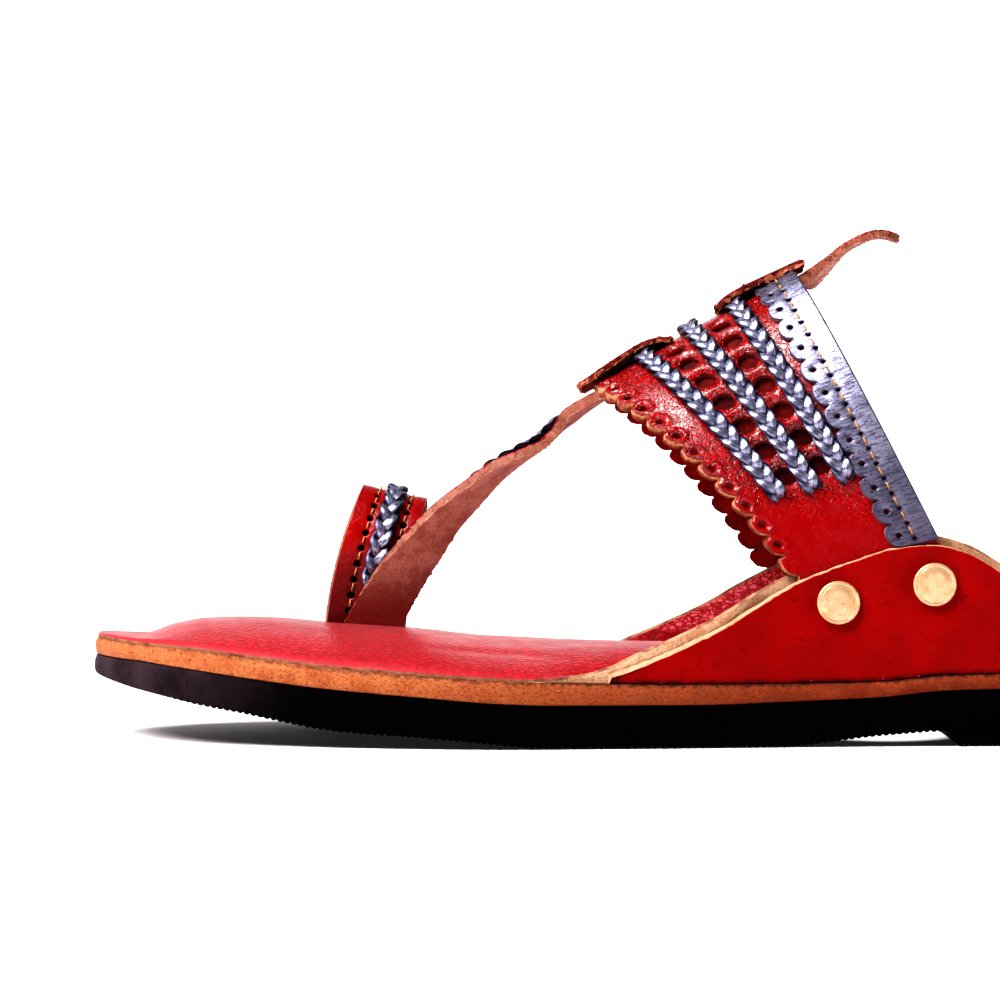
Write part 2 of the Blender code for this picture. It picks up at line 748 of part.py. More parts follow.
def ring_arch(steps=16):
    """Points of the ring's middle line, near leg to far leg, as y and height."""
    half = (RING_FAR - RING_NEAR) / 2
    middle = (RING_FAR + RING_NEAR) / 2
    turn = np.linspace(0, math.pi, 2 * steps + 1)
    ys = middle - half * np.sign(np.cos(turn)) * np.abs(np.cos(turn)) ** (2 / BAND_ROUND)
    zs = RING_SPRING + (RING_TOP - RING_SPRING) * np.sin(turn) ** (2 / BAND_ROUND)
    ys = np.concatenate(([RING_NEAR], ys, [RING_FAR]))
    zs = np.concatenate(([RING_FOOT - RING_ROOT], zs, [RING_FOOT - RING_ROOT]))
    run = np.concatenate(([0.0], np.cumsum(np.hypot(np.diff(ys), np.diff(zs)))))
    return ys, zs, run - run[-1] / 2


RING_ARCH = ring_arch()


def ring(u, v):
    """The ring's outer face: u runs over the toe from the near leg to the far one, v from front to rear."""
    ys, zs, run = RING_ARCH
    y = float(np.interp(u, run, ys))
    z = float(np.interp(u, run, zs))
    wide = 1 + RING_FLARE * blend(RING_TOP, RING_BASE, z)
    x = RING_X + (z - RING_BASE) * math.tan(RING_LEAN)
    return Vector((x + v * wide * math.cos(RING_LEAN), y, z - v * math.sin(RING_LEAN)))


def toe_ring():
    reach = RING_ARCH[2][-1] - RING_ROOT
    half = RING_WIDTH / 2
    tilt = half * math.sin(RING_LEAN)
    outline = [(-reach - tilt, -half), (reach + tilt, -half), (reach - tilt, half), (-reach + tilt, half)]
    panel = wall([outline], spread(-reach, reach, RING_CUT), [], ring, -RING_WALL, 0.0)
    return add_object("toe_ring", panel, "red", CUTTERS)


def ring_plait():
    reach = RING_ARCH[2][-1] - RING_ROOT - (RING_BASE - RING_FOOT)
    plait("braid_ring", -reach + RING_PLAIT_START, reach - RING_PLAIT_END, RING_PLAIT_WIDTH, ring)


def strap_plait():
    def surface(u, w):
        return on_surface(strap, u, w, STRAP_WALL / 2)

    plait("braid_tstrap", *STRAP_PLAIT, PLAIT_WIDTH, surface)


for old in list(bpy.data.objects):
    bpy.data.objects.remove(old)
PARTS = bpy.data.collections.new("kolhapuri_sandal")
CUTTERS = bpy.data.collections.new("joined_and_cut")
BITS = bpy.data.collections.new("rivet_holes")
for made_collection in (PARTS, CUTTERS, BITS):
    bpy.context.scene.collection.children.link(made_collection)

rivet_holes()
sole_layer("outsole", lambda x, y: LEVEL["tread"](x), lambda x, y: LEVEL["outsole_top"](x) - GAP, "rubber")
sole_layer("midsole", lambda x, y: LEVEL["outsole_top"](x), lambda x, y: LEVEL["midsole_top"](x), "tan")
heel_lift()
insole()
ears()
rivets()
upper()
rear_trim()
band_plaits()
ring_plait()
strap_plait()
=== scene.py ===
"""Looks of a kolhapuri sandal, left shoe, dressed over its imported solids.

Sizes are in millimetres and repeat those of the part's source, but for a few that follow the photograph more
closely. The frame is the same: the toe points to -X, the outer (lateral) side of the foot is -Y, the floor is
Z = 0.
"""

import math
from functools import partial

import bmesh
import bpy
import numpy as np
from mathutils import Matrix, Vector, geometry, kdtree, noise


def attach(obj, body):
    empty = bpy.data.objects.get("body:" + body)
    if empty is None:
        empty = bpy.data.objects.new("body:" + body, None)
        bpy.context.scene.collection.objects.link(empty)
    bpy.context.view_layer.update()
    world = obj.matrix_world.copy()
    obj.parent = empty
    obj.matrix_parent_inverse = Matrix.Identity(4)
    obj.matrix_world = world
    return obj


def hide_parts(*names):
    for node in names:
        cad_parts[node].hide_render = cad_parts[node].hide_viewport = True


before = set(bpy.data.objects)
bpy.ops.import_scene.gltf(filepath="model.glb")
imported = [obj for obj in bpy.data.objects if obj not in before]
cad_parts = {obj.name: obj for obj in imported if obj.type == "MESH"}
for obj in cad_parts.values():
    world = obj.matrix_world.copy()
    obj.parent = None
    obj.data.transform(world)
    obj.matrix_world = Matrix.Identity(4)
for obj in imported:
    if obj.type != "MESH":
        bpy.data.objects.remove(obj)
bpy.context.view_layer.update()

MM = 0.001
GAP = 0.3
LENGTH = 255.0
BALL_WIDTH = 88.0
SIDES = ((-1, "lateral"), (1, "medial"))  # sign of Y on each side
LAYER_GAP = 0.05  # between layers that are glued together

# Camera: place, tilt below level in degrees, focal length and width of the film
CAMERA_PLACE = (-38.0, -1000.0, 71.2)
CAMERA_TILT = 1.12
CAMERA_LENS = 163.6
CAMERA_FILM = 36.0

# Sole outline seen from above, from the toe tip along the lateral side to the heel and back: x, y
OUTLINE = (
    (-127.5, 7.0),
    (-117.0, -17.0),
    (-95.0, -33.0),
    (-50.0, -43.5),
    (-10.0, -41.0),
    (30.0, -35.5),
    (70.0, -33.0),
    (98.0, -29.5),
    (118.0, -18.5),
    (127.5, 0.5),
    (118.0, 19.5),
    (98.0, 29.5),
    (65.0, 31.5),
    (30.0, 31.0),
    (-5.0, 35.5),
    (-48.0, 43.5),
    (-85.0, 43.0),
    (-112.0, 33.0),
    (-124.0, 20.0),
)
OUTLINE_STEPS = 24

# Heights of the sole's layers at stations along the shoe
SOLE_COLUMNS = ("x", "tread", "outsole_top", "midsole_top", "crest")
SOLE_SECTIONS = (
    (-127.5, 13.6, 17.5, 21.4, 22.6),
    (-117.0, 11.6, 17.3, 20.8, 22.0),
    (-110.0, 10.3, 16.6, 20.4, 24.3),
    (-103.0, 8.9, 15.8, 20.0, 25.5),
    (-93.0, 7.3, 14.5, 18.8, 25.7),
    (-75.0, 4.1, 12.4, 16.9, 24.6),
    (-55.0, 2.4, 10.8, 15.4, 23.2),
    (-40.0, 0.9, 9.6, 14.4, 21.6),
    (-28.0, 0.0, 9.1, 13.9, 21.2),
    (5.0, 0.0, 9.0, 13.3, 20.4),
    (22.0, 0.0, 9.5, 13.3, 20.1),
    (43.0, 2.1, 10.4, 13.7, 20.2),
    (58.0, 3.1, 11.8, 15.0, 20.6),
    (100.0, 3.8, 12.5, 15.7, 21.4),
    (118.0, 4.0, 12.8, 16.0, 18.2),
    (127.5, 4.1, 12.9, 16.1, 17.3),
)
INSOLE_EDGE = 1.2
PAD_ROUND = 2.4
HEEL_BREAST = 58.0
HEEL_SLANT = 1.6
HEEL_SLANT_RUN = 10.0
SOLE_STATIONS = 1300
SOLE_END = 0.02  # how far the first and last sections stand back from the outline's ends
LIFT_STATIONS = 400
MIDSOLE_STATIONS = 420
MIDSOLE_END = 0.3
ACROSS = np.linspace(0, 1, 9)[1:-1]  # places across the top and the underside of a section
RIB_PITCH = 1.45
RIB_DEPTH = 0.42
RIB_START = -116.0
RIB_FULL = -100.0
FRONT_DROP = 0.5  # the worn tread hangs a little lower in front of the ball
FRONT_DROPPED = (-75.0, -40.0)

# Ears: top edges of the outer layer and of the insole leather turned up behind it
EAR_COLUMNS = ("x", "outer", "inner")
EAR_EDGE = (
    (-15.0, 15.4, 17.4),
    (-7.7, 18.0, 19.9),
    (0.0, 21.2, 23.2),
    (8.7, 25.2, 27.4),
    (16.0, 29.6, 31.8),
    (25.6, 35.0, 36.6),
    (37.9, 39.6, 40.6),
    (46.2, 42.1, 43.2),
    (54.0, 42.8, 44.0),
    (62.0, 40.9, 42.1),
    (68.0, 37.5, 38.8),
    (76.5, 31.1, 32.4),
    (85.0, 22.8, 24.2),
    (91.0, 17.2, 18.6),
)
FLAP_START = ((-36.0, 15.2), (-27.0, 15.4), (-20.0, 16.2))  # the turned-up layer before the ear: x, top
FLAP_END = ((99.0, 16.9),)
FLAP_FOLD = 5.0  # radius where it turns up
EAR_WALL = 1.6
EAR_INSET = 0.7
BAND_INSET = EAR_INSET + EAR_WALL + GAP
FLAP_WALL = 1.5
FLAP_PARTS = (8.0, 20.0)
FLAP_MEETS = (64.0, 80.0)
FLAP_ROOM = 0.2
PAD_NARROWS = (8.0, 16.0)
RIVETS = (("front", 33.9, 30.5), ("rear", 54.5, 34.3))
CAP_RADIUS = 4.65
CAP_HEIGHT = 1.1
SHANK_RADIUS = 1.7
BURR_RADIUS = 3.2
BURR_HEIGHT = 0.8
RIVET_SIDES = 64

# Instep band: its front and rear edges at the top of the foot and where they enter the ears (x, z)
FRONT_TOP = Vector((-18.0, 76.6))
FRONT_BASE = Vector((22.0, 35.5))
REAR_TOP = Vector((26.4, 101.8))
REAR_BASE = Vector((55.8, 43.6))
FRONT_BOW = 1.3
EDGE_BOW = 0.8  # bow of the front edge alone
EDGE_SHIFT = {-1: 1.5, 1: -1.7}  # how far the front edge's foot stands to the rear on each side
BAND_WALL = 2.2
BAND_ROUND = 2.25
GIRTH = 78.0
WIDTH = 45.0
TUCK = 1.2
END_SLOPE = 1.5
SCALLOPS = 28
SCALLOP_DEPTH = 2.0
SCALLOP_STEPS = 12
EYELET_RADIUS = 0.8
EYELET_FROM_TIP = 2.7
LINING_START = 6.8
LINING_END = 72.0
LINING_EDGE = {-1: 7.0, 1: 1.8}  # on the medial side it closes the pinholes of the front edge too
LINING_WALL = 0.5
LINING_BACK = 2.0  # from the band's rear edge
TRIM_WIDTH = 10.0
TRIM_WALL = 0.9
TRIM_END = 0.995
TRIM_SCALLOPS = 27
TRIM_STITCH = 4.6  # from the rear edge
TRIM_SEAM_END = 1.5
TRIM_PINHOLE = 0.48
HOLE_RADIUS = 2.2

# Rows across the band: share of the width at the top of the foot and low on the side, and where the row ends
PLAIT_ROWS = (
    ("braid_front", 0.25, 0.29, 0.76),
    ("braid_middle", 0.49, 0.48, 0.77),
    ("braid_rear", 0.705, 0.68, 0.77),
)
HOLE_ROWS = ((0.375, 0.395), (0.605, 0.59))
ROW_HOLES = 7
ROW_FIRST = 0.13
ROW_STEP = 0.095

# Three flat strands make a plait
STRANDS = 3
PLAIT_PERIOD = 11.8
PLAIT_SWING = 1.2
PLAIT_WEAVE = 0.5
STRAND_WIDTH = 2.5
STRAND_WALL = 1.0
STRAND_STEP = 0.35
STRAND_SIDES = 12
STRAND_TILT = 0.35  # how far a strand rolls to each side, in radians
STRAND_APART = 40.0  # between the strands on their pattern
PLAIT_MIDDLE = 1.05  # height of the plait's middle over the leather
SUNK_MIDDLE = 0.55  # the same on the ring and the T-strap, where it is drawn into the leather
PLAIT_END = 1.55  # how deep its ends go into the leather
PLAIT_DIVE_RUN = 2.2
PLAIT_GATHER = 0.7  # how far the strands come together there

# Keepers, the strips that hold the T-strap under the band: share of the band's width, height over the band
KEEPER_WALL = 1.1
KEEPER_WIDTH = 12.0
KEEPERS = (
    (
        (-0.045, 1.8),
        (0.0, 2.0),
        (0.1, 2.5),
        (0.2, 2.85),
        (0.28, 2.9),
        (0.34, 2.2),
        (0.38, 1.2),
        (0.4, 0.3),
    ),
    (
        (0.635, 1.5),
        (0.65, 2.2),
        (0.7, 2.75),
        (0.78, 2.75),
        (0.88, 2.35),
        (1.0, 1.8),
        (1.05, 1.5),
    ),
)
KEEPER_TILT = 0.85  # how far its medial edge comes down, as a share of its height

# T-strap from the toe slit to the band: x, y, z, roll in degrees
STRAP_FOOT = (
    (-68.6, 8.4, 19.6, 88.0),
    (-64.6, 8.3, 27.0, 82.0),
    (-60.2, 8.0, 34.6, 62.0),
    (-54.2, 7.2, 42.6, 44.0),
    (-50.0, 6.5, 47.8, 35.0),
    (-44.4, 5.4, 53.0, 25.0),
    (-39.5, 4.4, 57.4, 17.0),
    (-34.3, 3.4, 60.7, 8.0),
    (-29.4, 2.4, 63.4, 0.0),
    (-25.7, 1.6, 66.8, 0.0),
    (-22.6, 0.9, 70.2, 10.0),
)
STRAP_UNDER = (0.04, 0.5, 0.97)
STRAP_TAIL = (
    (30.2, 0.0, 100.2, 13.0),
    (33.4, 0.0, 103.2, 9.0),
    (37.6, 0.0, 107.2, 4.0),
    (42.7, 0.0, 109.8, 2.0),
    (46.4, 0.0, 110.3, 0.0),
    (49.8, 0.0, 109.2, 0.0),
)
STRAP_WIDTH = 11.6
STRAP_WALL = 2.2
STRAP_STEPS = 10
STRAP_SINK = 0.5
STRAP_UNDER_ROLL = 4.0
STRAP_PLAIT = (33.0, 69.0)
ROOT_LEAN = 0.46
TAIL_TAPER = 3.0
TAIL_PARED = 24.0
FIBRE_LENGTH = 2.0
FIBRE_RADIUS = 0.09
FIBRE_SEED = 7

# Toe ring: an arch over the big toe, leaning back
RING_NEAR = 9.0
RING_FAR = 35.5
RING_X = -68.2
RING_BASE = 23.0
RING_SPRING = 39.0
RING_TOP = 53.2
RING_FOOT = 19.6
RING_LEAN = math.radians(12.5)
RING_WIDTH = 15.6
RING_WALL = 2.2
RING_FLARE = 0.14
RING_ROOT = 4.0
RING_BOW = 1.0  # how far the ring bows to the front at half its height
RING_PLAIT_START = 8.0
RING_PLAIT_END = 4.5
RING_PLAIT_V = 0.4
RING_STITCHES = (-3.3, 4.1)  # where the two seams lie across the strip
RING_SEAM_END = 3.0
RING_HOLE = 0.7
SLIT_FLOOR = 18.9
SLIT_X = -68.4
SLIT_HEIGHT = 20.0
SLIT_ROOM = 0.5
STRAP_BESIDE = 2.4

STITCH_PITCH = 3.6
STITCH_LENGTH = 1.8
THREAD_RADIUS = 0.22
THREAD_SIDES = 8
STITCH_HOLE = 0.36

# Sheets: distances from a cut edge with a row of points, spacing on straight edges, rows over columns
EDGE_RINGS = (0.0, 0.1, 0.25, 0.5)
EDGE_STEP = 0.8
ROW_RISE = 0.87
SKIVE_RUN = 2.5  # how far a pared edge reaches in, over its depth
FLESH_ROUND = 0.6  # rounding of the flesh side's edge over the grain side's


# Shapes shared with the part's source

def smooth_columns(columns, rows):
    """A smooth function of the first column for each other column, with no overshoot between rows."""
    table = np.array(rows, float)
    return {name: smooth(table[:, 0], table[:, i]) for i, name in enumerate(columns) if i}


def smooth(places, values):
    step = np.diff(places)
    slope = np.diff(values) / step
    tangent = np.concatenate(([slope[0]], np.zeros(len(slope) - 1), [slope[-1]]))
    for i in range(1, len(slope)):
        if slope[i - 1] * slope[i] > 0:
            tangent[i] = 2 * slope[i - 1] * slope[i] / (slope[i - 1] + slope[i])

    def value(place):
        place = min(max(place, places[0]), places[-1])
        i = min(int(np.searchsorted(places, place, side="right")) - 1, len(step) - 1)
        t = (place - places[i]) / step[i]
        rise = (1 - t) * tangent[i] - t * tangent[i + 1] + (2 * t - 1) * slope[i]
        return values[i] + t * (values[i + 1] - values[i]) + t * (1 - t) * step[i] * rise

    return value


def through(points, steps, closed=False):
    """Points on a smooth curve through the given points."""
    points = [Vector(p) for p in points]
    count = len(points)
    found = []
    for i in range(count if closed else count - 1):
        if closed:
            a, b, c, d = (points[(i + k) % count] for k in (-1, 0, 1, 2))
        else:
            b, c = points[i], points[i + 1]
            a = points[i - 1] if i else 2 * b - c
            d = points[i + 2] if i + 2 < count else 2 * c - b
        for k in range(steps):
            t = k / steps
            found.append(b + (c - a) * (t / 2) + (2 * a - 5 * b + 4 * c - d) * (t * t / 2)
                         + (3 * b - a - 3 * c + d) * (t**3 / 2))
    return found if closed else [*found, points[-1]]


def blend(start, end, x):
    """0 before start, 1 after end, and smooth between."""
    t = min(max((x - start) / (end - start), 0.0), 1.0)
    return t * t * (3 - 2 * t)


def lengths(points):
    """Length run along a line to each of its points."""
    points = np.array(points)
    return np.concatenate(([0.0], np.cumsum(np.linalg.norm(np.diff(points, axis=0), axis=1))))


def unit(vectors):
    """Vectors brought to length 1."""
    return vectors / np.linalg.norm(vectors, axis=-1, keepdims=True)


def sole_halves():
    """Lateral and medial halves of the outline, from toe to heel."""
    points = np.array(through(OUTLINE, OUTLINE_STEPS, closed=True))
    low, high = points.min(axis=0), points.max(axis=0)
    points = (points - (low + high) / 2) * (LENGTH, BALL_WIDTH) / (high - low)
    points = np.roll(points, -int(points[:, 0].argmin()), axis=0)
    heel = int(points[:, 0].argmax())
    return points[: heel + 1], np.vstack([points[heel:], points[:1]])[::-1]


LATERAL, MEDIAL = sole_halves()
LEVEL = smooth_columns(SOLE_COLUMNS, SOLE_SECTIONS)
EAR = smooth_columns(EAR_COLUMNS, EAR_EDGE)
EAR_FRONT, EAR_REAR = EAR_EDGE[0][0], EAR_EDGE[-1][0]


def edge(side, x):
    """Distance of the sole's edge from the middle line: side -1 is lateral, 1 is medial."""
    half = LATERAL if side < 0 else MEDIAL
    return side * float(np.interp(x, half[:, 0], half[:, 1]))


def flap_inset(x):
    opened = blend(*FLAP_PARTS, x) * (1 - blend(*FLAP_MEETS, x))
    return BAND_INSET + FLAP_ROOM + opened * (BAND_WALL + GAP - FLAP_ROOM)


def insole_inset(x):
    close, away = PAD_NARROWS
    beside = blend(EAR_FRONT - away, EAR_FRONT - close, x) * (1 - blend(EAR_REAR + close, EAR_REAR + away, x))
    return GAP + (EAR_INSET + EAR_WALL) * beside


def band_ends(side, share):
    """Top of the foot and the ear's edge on a line across the foot, at a share of the band's width: x, z."""
    top = FRONT_TOP.lerp(REAR_TOP, share)
    base = FRONT_BASE.lerp(REAR_BASE, share)
    return top, base + Vector((EDGE_SHIFT[side] * (1 - share) ** 3, 0.0))


def band_arch(side, share, steps=120):
    """Points of the band's outer face from the top of the foot to the ear, at a share of its width."""
    top, base = band_ends(side, share)
    reach = edge(side, base.x) - BAND_INSET
    turn = np.linspace(0, math.pi / 2, steps)
    rise = np.cos(turn) ** (2 / BAND_ROUND)
    out = np.sin(turn) ** (2 / BAND_ROUND)
    bow = (FRONT_BOW * (1 - share) + EDGE_BOW * (1 - share) ** 3) * 4 * rise * (1 - rise)
    xs = base.x + (top.x - base.x) * rise + bow
    zs = base.y + (top.y - base.y) * rise + bow
    return np.column_stack([xs, side * reach * out, zs])


def band(u, v):
    """The band's outer face: u runs round the foot from lateral to medial, v from the front to the rear."""
    side = -1 if u < 0 else 1
    share = v / WIDTH
    arch = band_arch(side, share)
    run = lengths(arch)
    place = abs(u) / GIRTH * run[-1]
    if place <= run[-1]:
        return Vector([np.interp(place, run, arch[:, k]) for k in range(3)])
    top, base = band_ends(side, share)
    x, z = base + (base - top).normalized() * (place - run[-1])
    return Vector((x, side * (edge(side, x) - BAND_INSET), z))


def row_v(row_top, row_low, u):
    """Where a row of plait or holes lies across the pattern."""
    return WIDTH * (row_top + (row_low - row_top) * np.abs(u) / GIRTH)


def strap_path():
    """Points along the strap's middle, the roll in degrees and the length run to each."""
    depth = BAND_WALL + STRAP_WALL / 2 - STRAP_SINK
    under = [(*BAND([0.0], [share * WIDTH], -depth)[0], STRAP_UNDER_ROLL) for share in STRAP_UNDER]
    rows = [*STRAP_FOOT, *under, *STRAP_TAIL]
    places = through([row[:3] for row in rows], STRAP_STEPS)
    rolls = np.interp(np.arange(len(places)) / STRAP_STEPS, np.arange(len(rows)), [row[3] for row in rows])
    return np.array(places), rolls, lengths(places)


def strap(u, v):
    """Middle of the strap's thickness: u from the toe slit to the tail, v towards the lateral edge."""
    places, rolls, run = STRAP_PATH

    def at(s):
        s = min(max(s, 0.0), run[-1])
        return Vector([np.interp(s, run, places[:, k]) for k in range(3)])

    held = min(max(u, 0.0), run[-1])
    along = (at(held + 2.0) - at(held - 2.0)).normalized()
    roll = math.radians(np.interp(u, run, rolls))
    upward = Vector((-along.z, 0, along.x)).normalized()
    over = Vector((0, -math.cos(roll), 0)) + upward * math.sin(roll)
    past = min(u, 0.0) + max(u - run[-1], 0.0)
    return at(u) + along * past + over * v


def ring_arch(steps=60):
    """Points of the ring's outer face, near leg to far leg, as y and height, with the length run."""
    half = (RING_FAR - RING_NEAR) / 2
    middle = (RING_FAR + RING_NEAR) / 2
    turn = np.linspace(0, math.pi, 2 * steps + 1)
    ys = middle - half * np.sign(np.cos(turn)) * np.abs(np.cos(turn)) ** (2 / BAND_ROUND)
    zs = RING_SPRING + (RING_TOP - RING_SPRING) * np.sin(turn) ** (2 / BAND_ROUND)
    ys = np.concatenate(([RING_NEAR], ys, [RING_FAR]))
    zs = np.concatenate(([RING_FOOT - RING_ROOT], zs, [RING_FOOT - RING_ROOT]))
    run = lengths(np.column_stack([ys, zs]))
    return ys, zs, run - run[-1] / 2


def ring(u, v):
    """The ring's outer face: u runs over the toe from the near leg to the far one, v from front to rear."""
    ys, zs, run = RING_ARCH
    y = float(np.interp(u, run, ys))
    z = float(np.interp(u, run, zs))
    wide = 1 + RING_FLARE * blend(RING_TOP, RING_BASE, z)
    rise = (z - RING_BASE) / (RING_TOP - RING_BASE)
    x = RING_X + (z - RING_BASE) * math.tan(RING_LEAN) - RING_BOW * 4 * max(rise * (1 - rise), 0.0)
    return Vector((x + v * wide * math.cos(RING_LEAN), y, z - v * math.sin(RING_LEAN)))


# Tools

class Skin:
    """A surface of the shoe kept as a fine table, so that many points are placed on it at once."""

    def __init__(self, surface, range_u, range_v, step):
        ranges = (range_u, range_v)
        self.axes = [np.linspace(a, b, max(3, math.ceil((b - a) / step) + 1)) for a, b in ranges]
        points = np.array([[surface(u, v) for v in self.axes[1]] for u in self.axes[0]])
        along, across = np.gradient(points, *self.axes, axis=(0, 1))
        self.table = np.concatenate([points, unit(np.cross(across, along))], axis=2)

    def __call__(self, u, v, height=0.0):
        cells = []
        for values, axis in zip((u, v), self.axes):
            place = (np.asarray(values, float) - axis[0]) / (axis[1] - axis[0])
            low = np.clip(np.floor(place).astype(int), 0, len(axis) - 2)
            cells.append((low, (place - low)[..., None]))
        (i, a), (j, b) = cells
        near = self.table[i, j] * (1 - b) + self.table[i, j + 1] * b
        far = self.table[i + 1, j] * (1 - b) + self.table[i + 1, j + 1] * b
        found = near * (1 - a) + far * a
        return found[..., :3] + unit(found[..., 3:]) * np.asarray(height, float)[..., None]


def spread(start, end, spacing):
    """Evenly spaced values from start to end, both included."""
    return np.linspace(start, end, max(2, math.ceil(abs(end - start) / spacing) + 1))


def dense(corners, spacing):
    """A closed line through the corners with points at about the spacing."""
    points = []
    for a, b in zip(corners, [*corners[1:], corners[0]]):
        a, b = np.array(a, float), np.array(b, float)
        count = max(1, round(float(np.linalg.norm(b - a)) / spacing))
        points += [a + (b - a) * k / count for k in range(count)]
    return np.array(points)


def circle(u, v, radius, sides=20):
    """Points round a circle on a pattern."""
    turns = np.linspace(0, 2 * math.pi, sides, endpoint=False)
    return np.column_stack([u + radius * np.cos(turns), v + radius * np.sin(turns)])


def inward(loop, hole):
    """Unit vectors from a closed line into the leather, and the line turned the way they need."""
    ahead = np.roll(loop, -1, axis=0)
    area = float(np.sum(loop[:, 0] * ahead[:, 1] - loop[:, 1] * ahead[:, 0]))
    if (area < 0) != hole:
        loop = loop[::-1]
    tangent = np.roll(loop, -1, axis=0) - np.roll(loop, 1, axis=0)
    normal = np.column_stack([-tangent[:, 1], tangent[:, 0]])
    return loop, unit(normal)


def within(points, loop):
    """Which points lie inside a closed line."""
    x, y = points.T
    found = np.zeros(len(points), bool)
    for (ax, ay), (bx, by) in zip(loop, np.roll(loop, -1, axis=0)):
        if ay != by:
            crosses = (ay > y) != (by > y)
            found ^= crosses & (x < ax + (bx - ax) * (y - ay) / (by - ay))
    return found


def flat_mesh(loops, spacing):
    """A flat piece with holes, as points and triangles.

    Each point also has its distance to the nearest cut edge, the direction away from it, and the edge's loop.
    """
    rows, links = [], []
    for k, loop in enumerate(loops):
        loop, normal = inward(np.array(loop, float), k > 0)
        count = len(loop)
        first = sum(len(row) for row in rows)
        links += [(first + i, first + (i + 1) % count) for i in range(count)]
        for distance in EDGE_RINGS:
            inset, owner = np.full(count, distance), np.full(count, k)
            rows.append(np.column_stack([loop + normal * distance, inset, normal, owner]))
    rim = np.vstack(rows)
    edges = np.flatnonzero(rim[:, 2] == 0.0)
    tree = kdtree.KDTree(len(edges))
    for i in edges:
        tree.insert((*rim[i, :2], 0.0), i)
    tree.balance()
    low, high = rim[:, :2].min(axis=0), rim[:, :2].max(axis=0)
    inner = []
    for row, v in enumerate(np.arange(low[1], high[1], spacing * ROW_RISE)):
        for u in np.arange(low[0] + (row % 2) * spacing / 2, high[0], spacing):
            _, i, distance = tree.find((u, v, 0.0))
            if distance > EDGE_RINGS[-1] + spacing / 2:
                inner.append((u, v, distance, *rim[i, 3:]))
    inner = np.array(inner).reshape(-1, 6)
    for loop in loops[1:]:
        inner = inner[~within(inner[:, :2], np.array(loop))]
    whole = np.vstack([rim, inner])
    found = geometry.delaunay_2d_cdt([Vector(p) for p in whole[:, :2]], links, [], 1, 1e-6)
    flat = np.array([tuple(p) for p in found[0]])
    faces = np.array(found[2])
    middles = flat[faces].mean(axis=1)
    keep = np.ones(len(faces), bool)
    for loop in loops[1:]:
        loop = np.array(loop)
        near = np.flatnonzero(((middles > loop.min(axis=0)) & (middles < loop.max(axis=0))).all(axis=1))
        keep[near[within(middles[near], loop)]] = False
    used, faces = np.unique(faces[keep], return_inverse=True)
    source = whole[[origin[0] for origin in found[3]]][used]
    return flat[used], faces.reshape(-1, 3).tolist(), source[:, 2], source[:, 3:5], source[:, 5]


def open_edges(faces):
    """Directed edges that only one triangle has."""
    directed = {(a, b) for face in faces for a, b in zip(face, [*face[1:], face[0]])}
    return [(a, b) for a, b in directed if (b, a) not in directed]


def add_piece(name, points, faces, materials, indices=None, attributes=None, sharp=40.0):
    """A mesh object from points in millimetres."""
    mesh = bpy.data.meshes.new(name)
    mesh.from_pydata((np.asarray(points) * MM).tolist(), [], [tuple(int(i) for i in face) for face in faces])
    for finish in materials:
        mesh.materials.append(finish)
    if indices is not None:
        mesh.polygons.foreach_set("material_index", np.asarray(indices, dtype=np.int32))
    for key, values in (attributes or {}).items():
        values = np.asarray(values, float)
        kind = "FLOAT_VECTOR" if values.ndim == 2 else "FLOAT"
        layer = mesh.attributes.new(key, kind, "POINT")
        layer.data.foreach_set("vector" if values.ndim == 2 else "value", values.ravel())
    shell = bmesh.new()
    shell.from_mesh(mesh)
    bmesh.ops.recalc_face_normals(shell, faces=shell.faces)
    if shell.calc_volume(signed=True) < 0:
        bmesh.ops.reverse_faces(shell, faces=shell.faces)
    shell.to_mesh(mesh)
    shell.free()
    mesh.shade_smooth()
    mesh.set_sharp_from_angle(angle=math.radians(sharp))
    made = bpy.data.objects.new(name, mesh)
    bpy.context.scene.collection.objects.link(made)
    return made


def dress(piece, slot, *nodes):
    """The piece rides on the shoe and stands for the solids it covers; the slot is not used."""
    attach(piece, "root")
    if nodes:
        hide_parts(*nodes)
    return piece


def rough(points, scale, seed=0.0):
    """Smooth noise from -1 to 1 at points, with bumps about 1 / scale apart."""
    return np.array([noise.noise(Vector((p[0] * scale, p[1] * scale, p[2] * scale + seed))) for p in points])


def ripple(u, v, amount, scale):
    """Soft unevenness over a flat pattern."""
    return amount * rough(np.column_stack([u, v, np.zeros(len(u))]), scale)


def bell(distance, width):
    """1 where the distance is nothing, falling off smoothly over the width."""
    return np.exp(-((distance / width) ** 2))


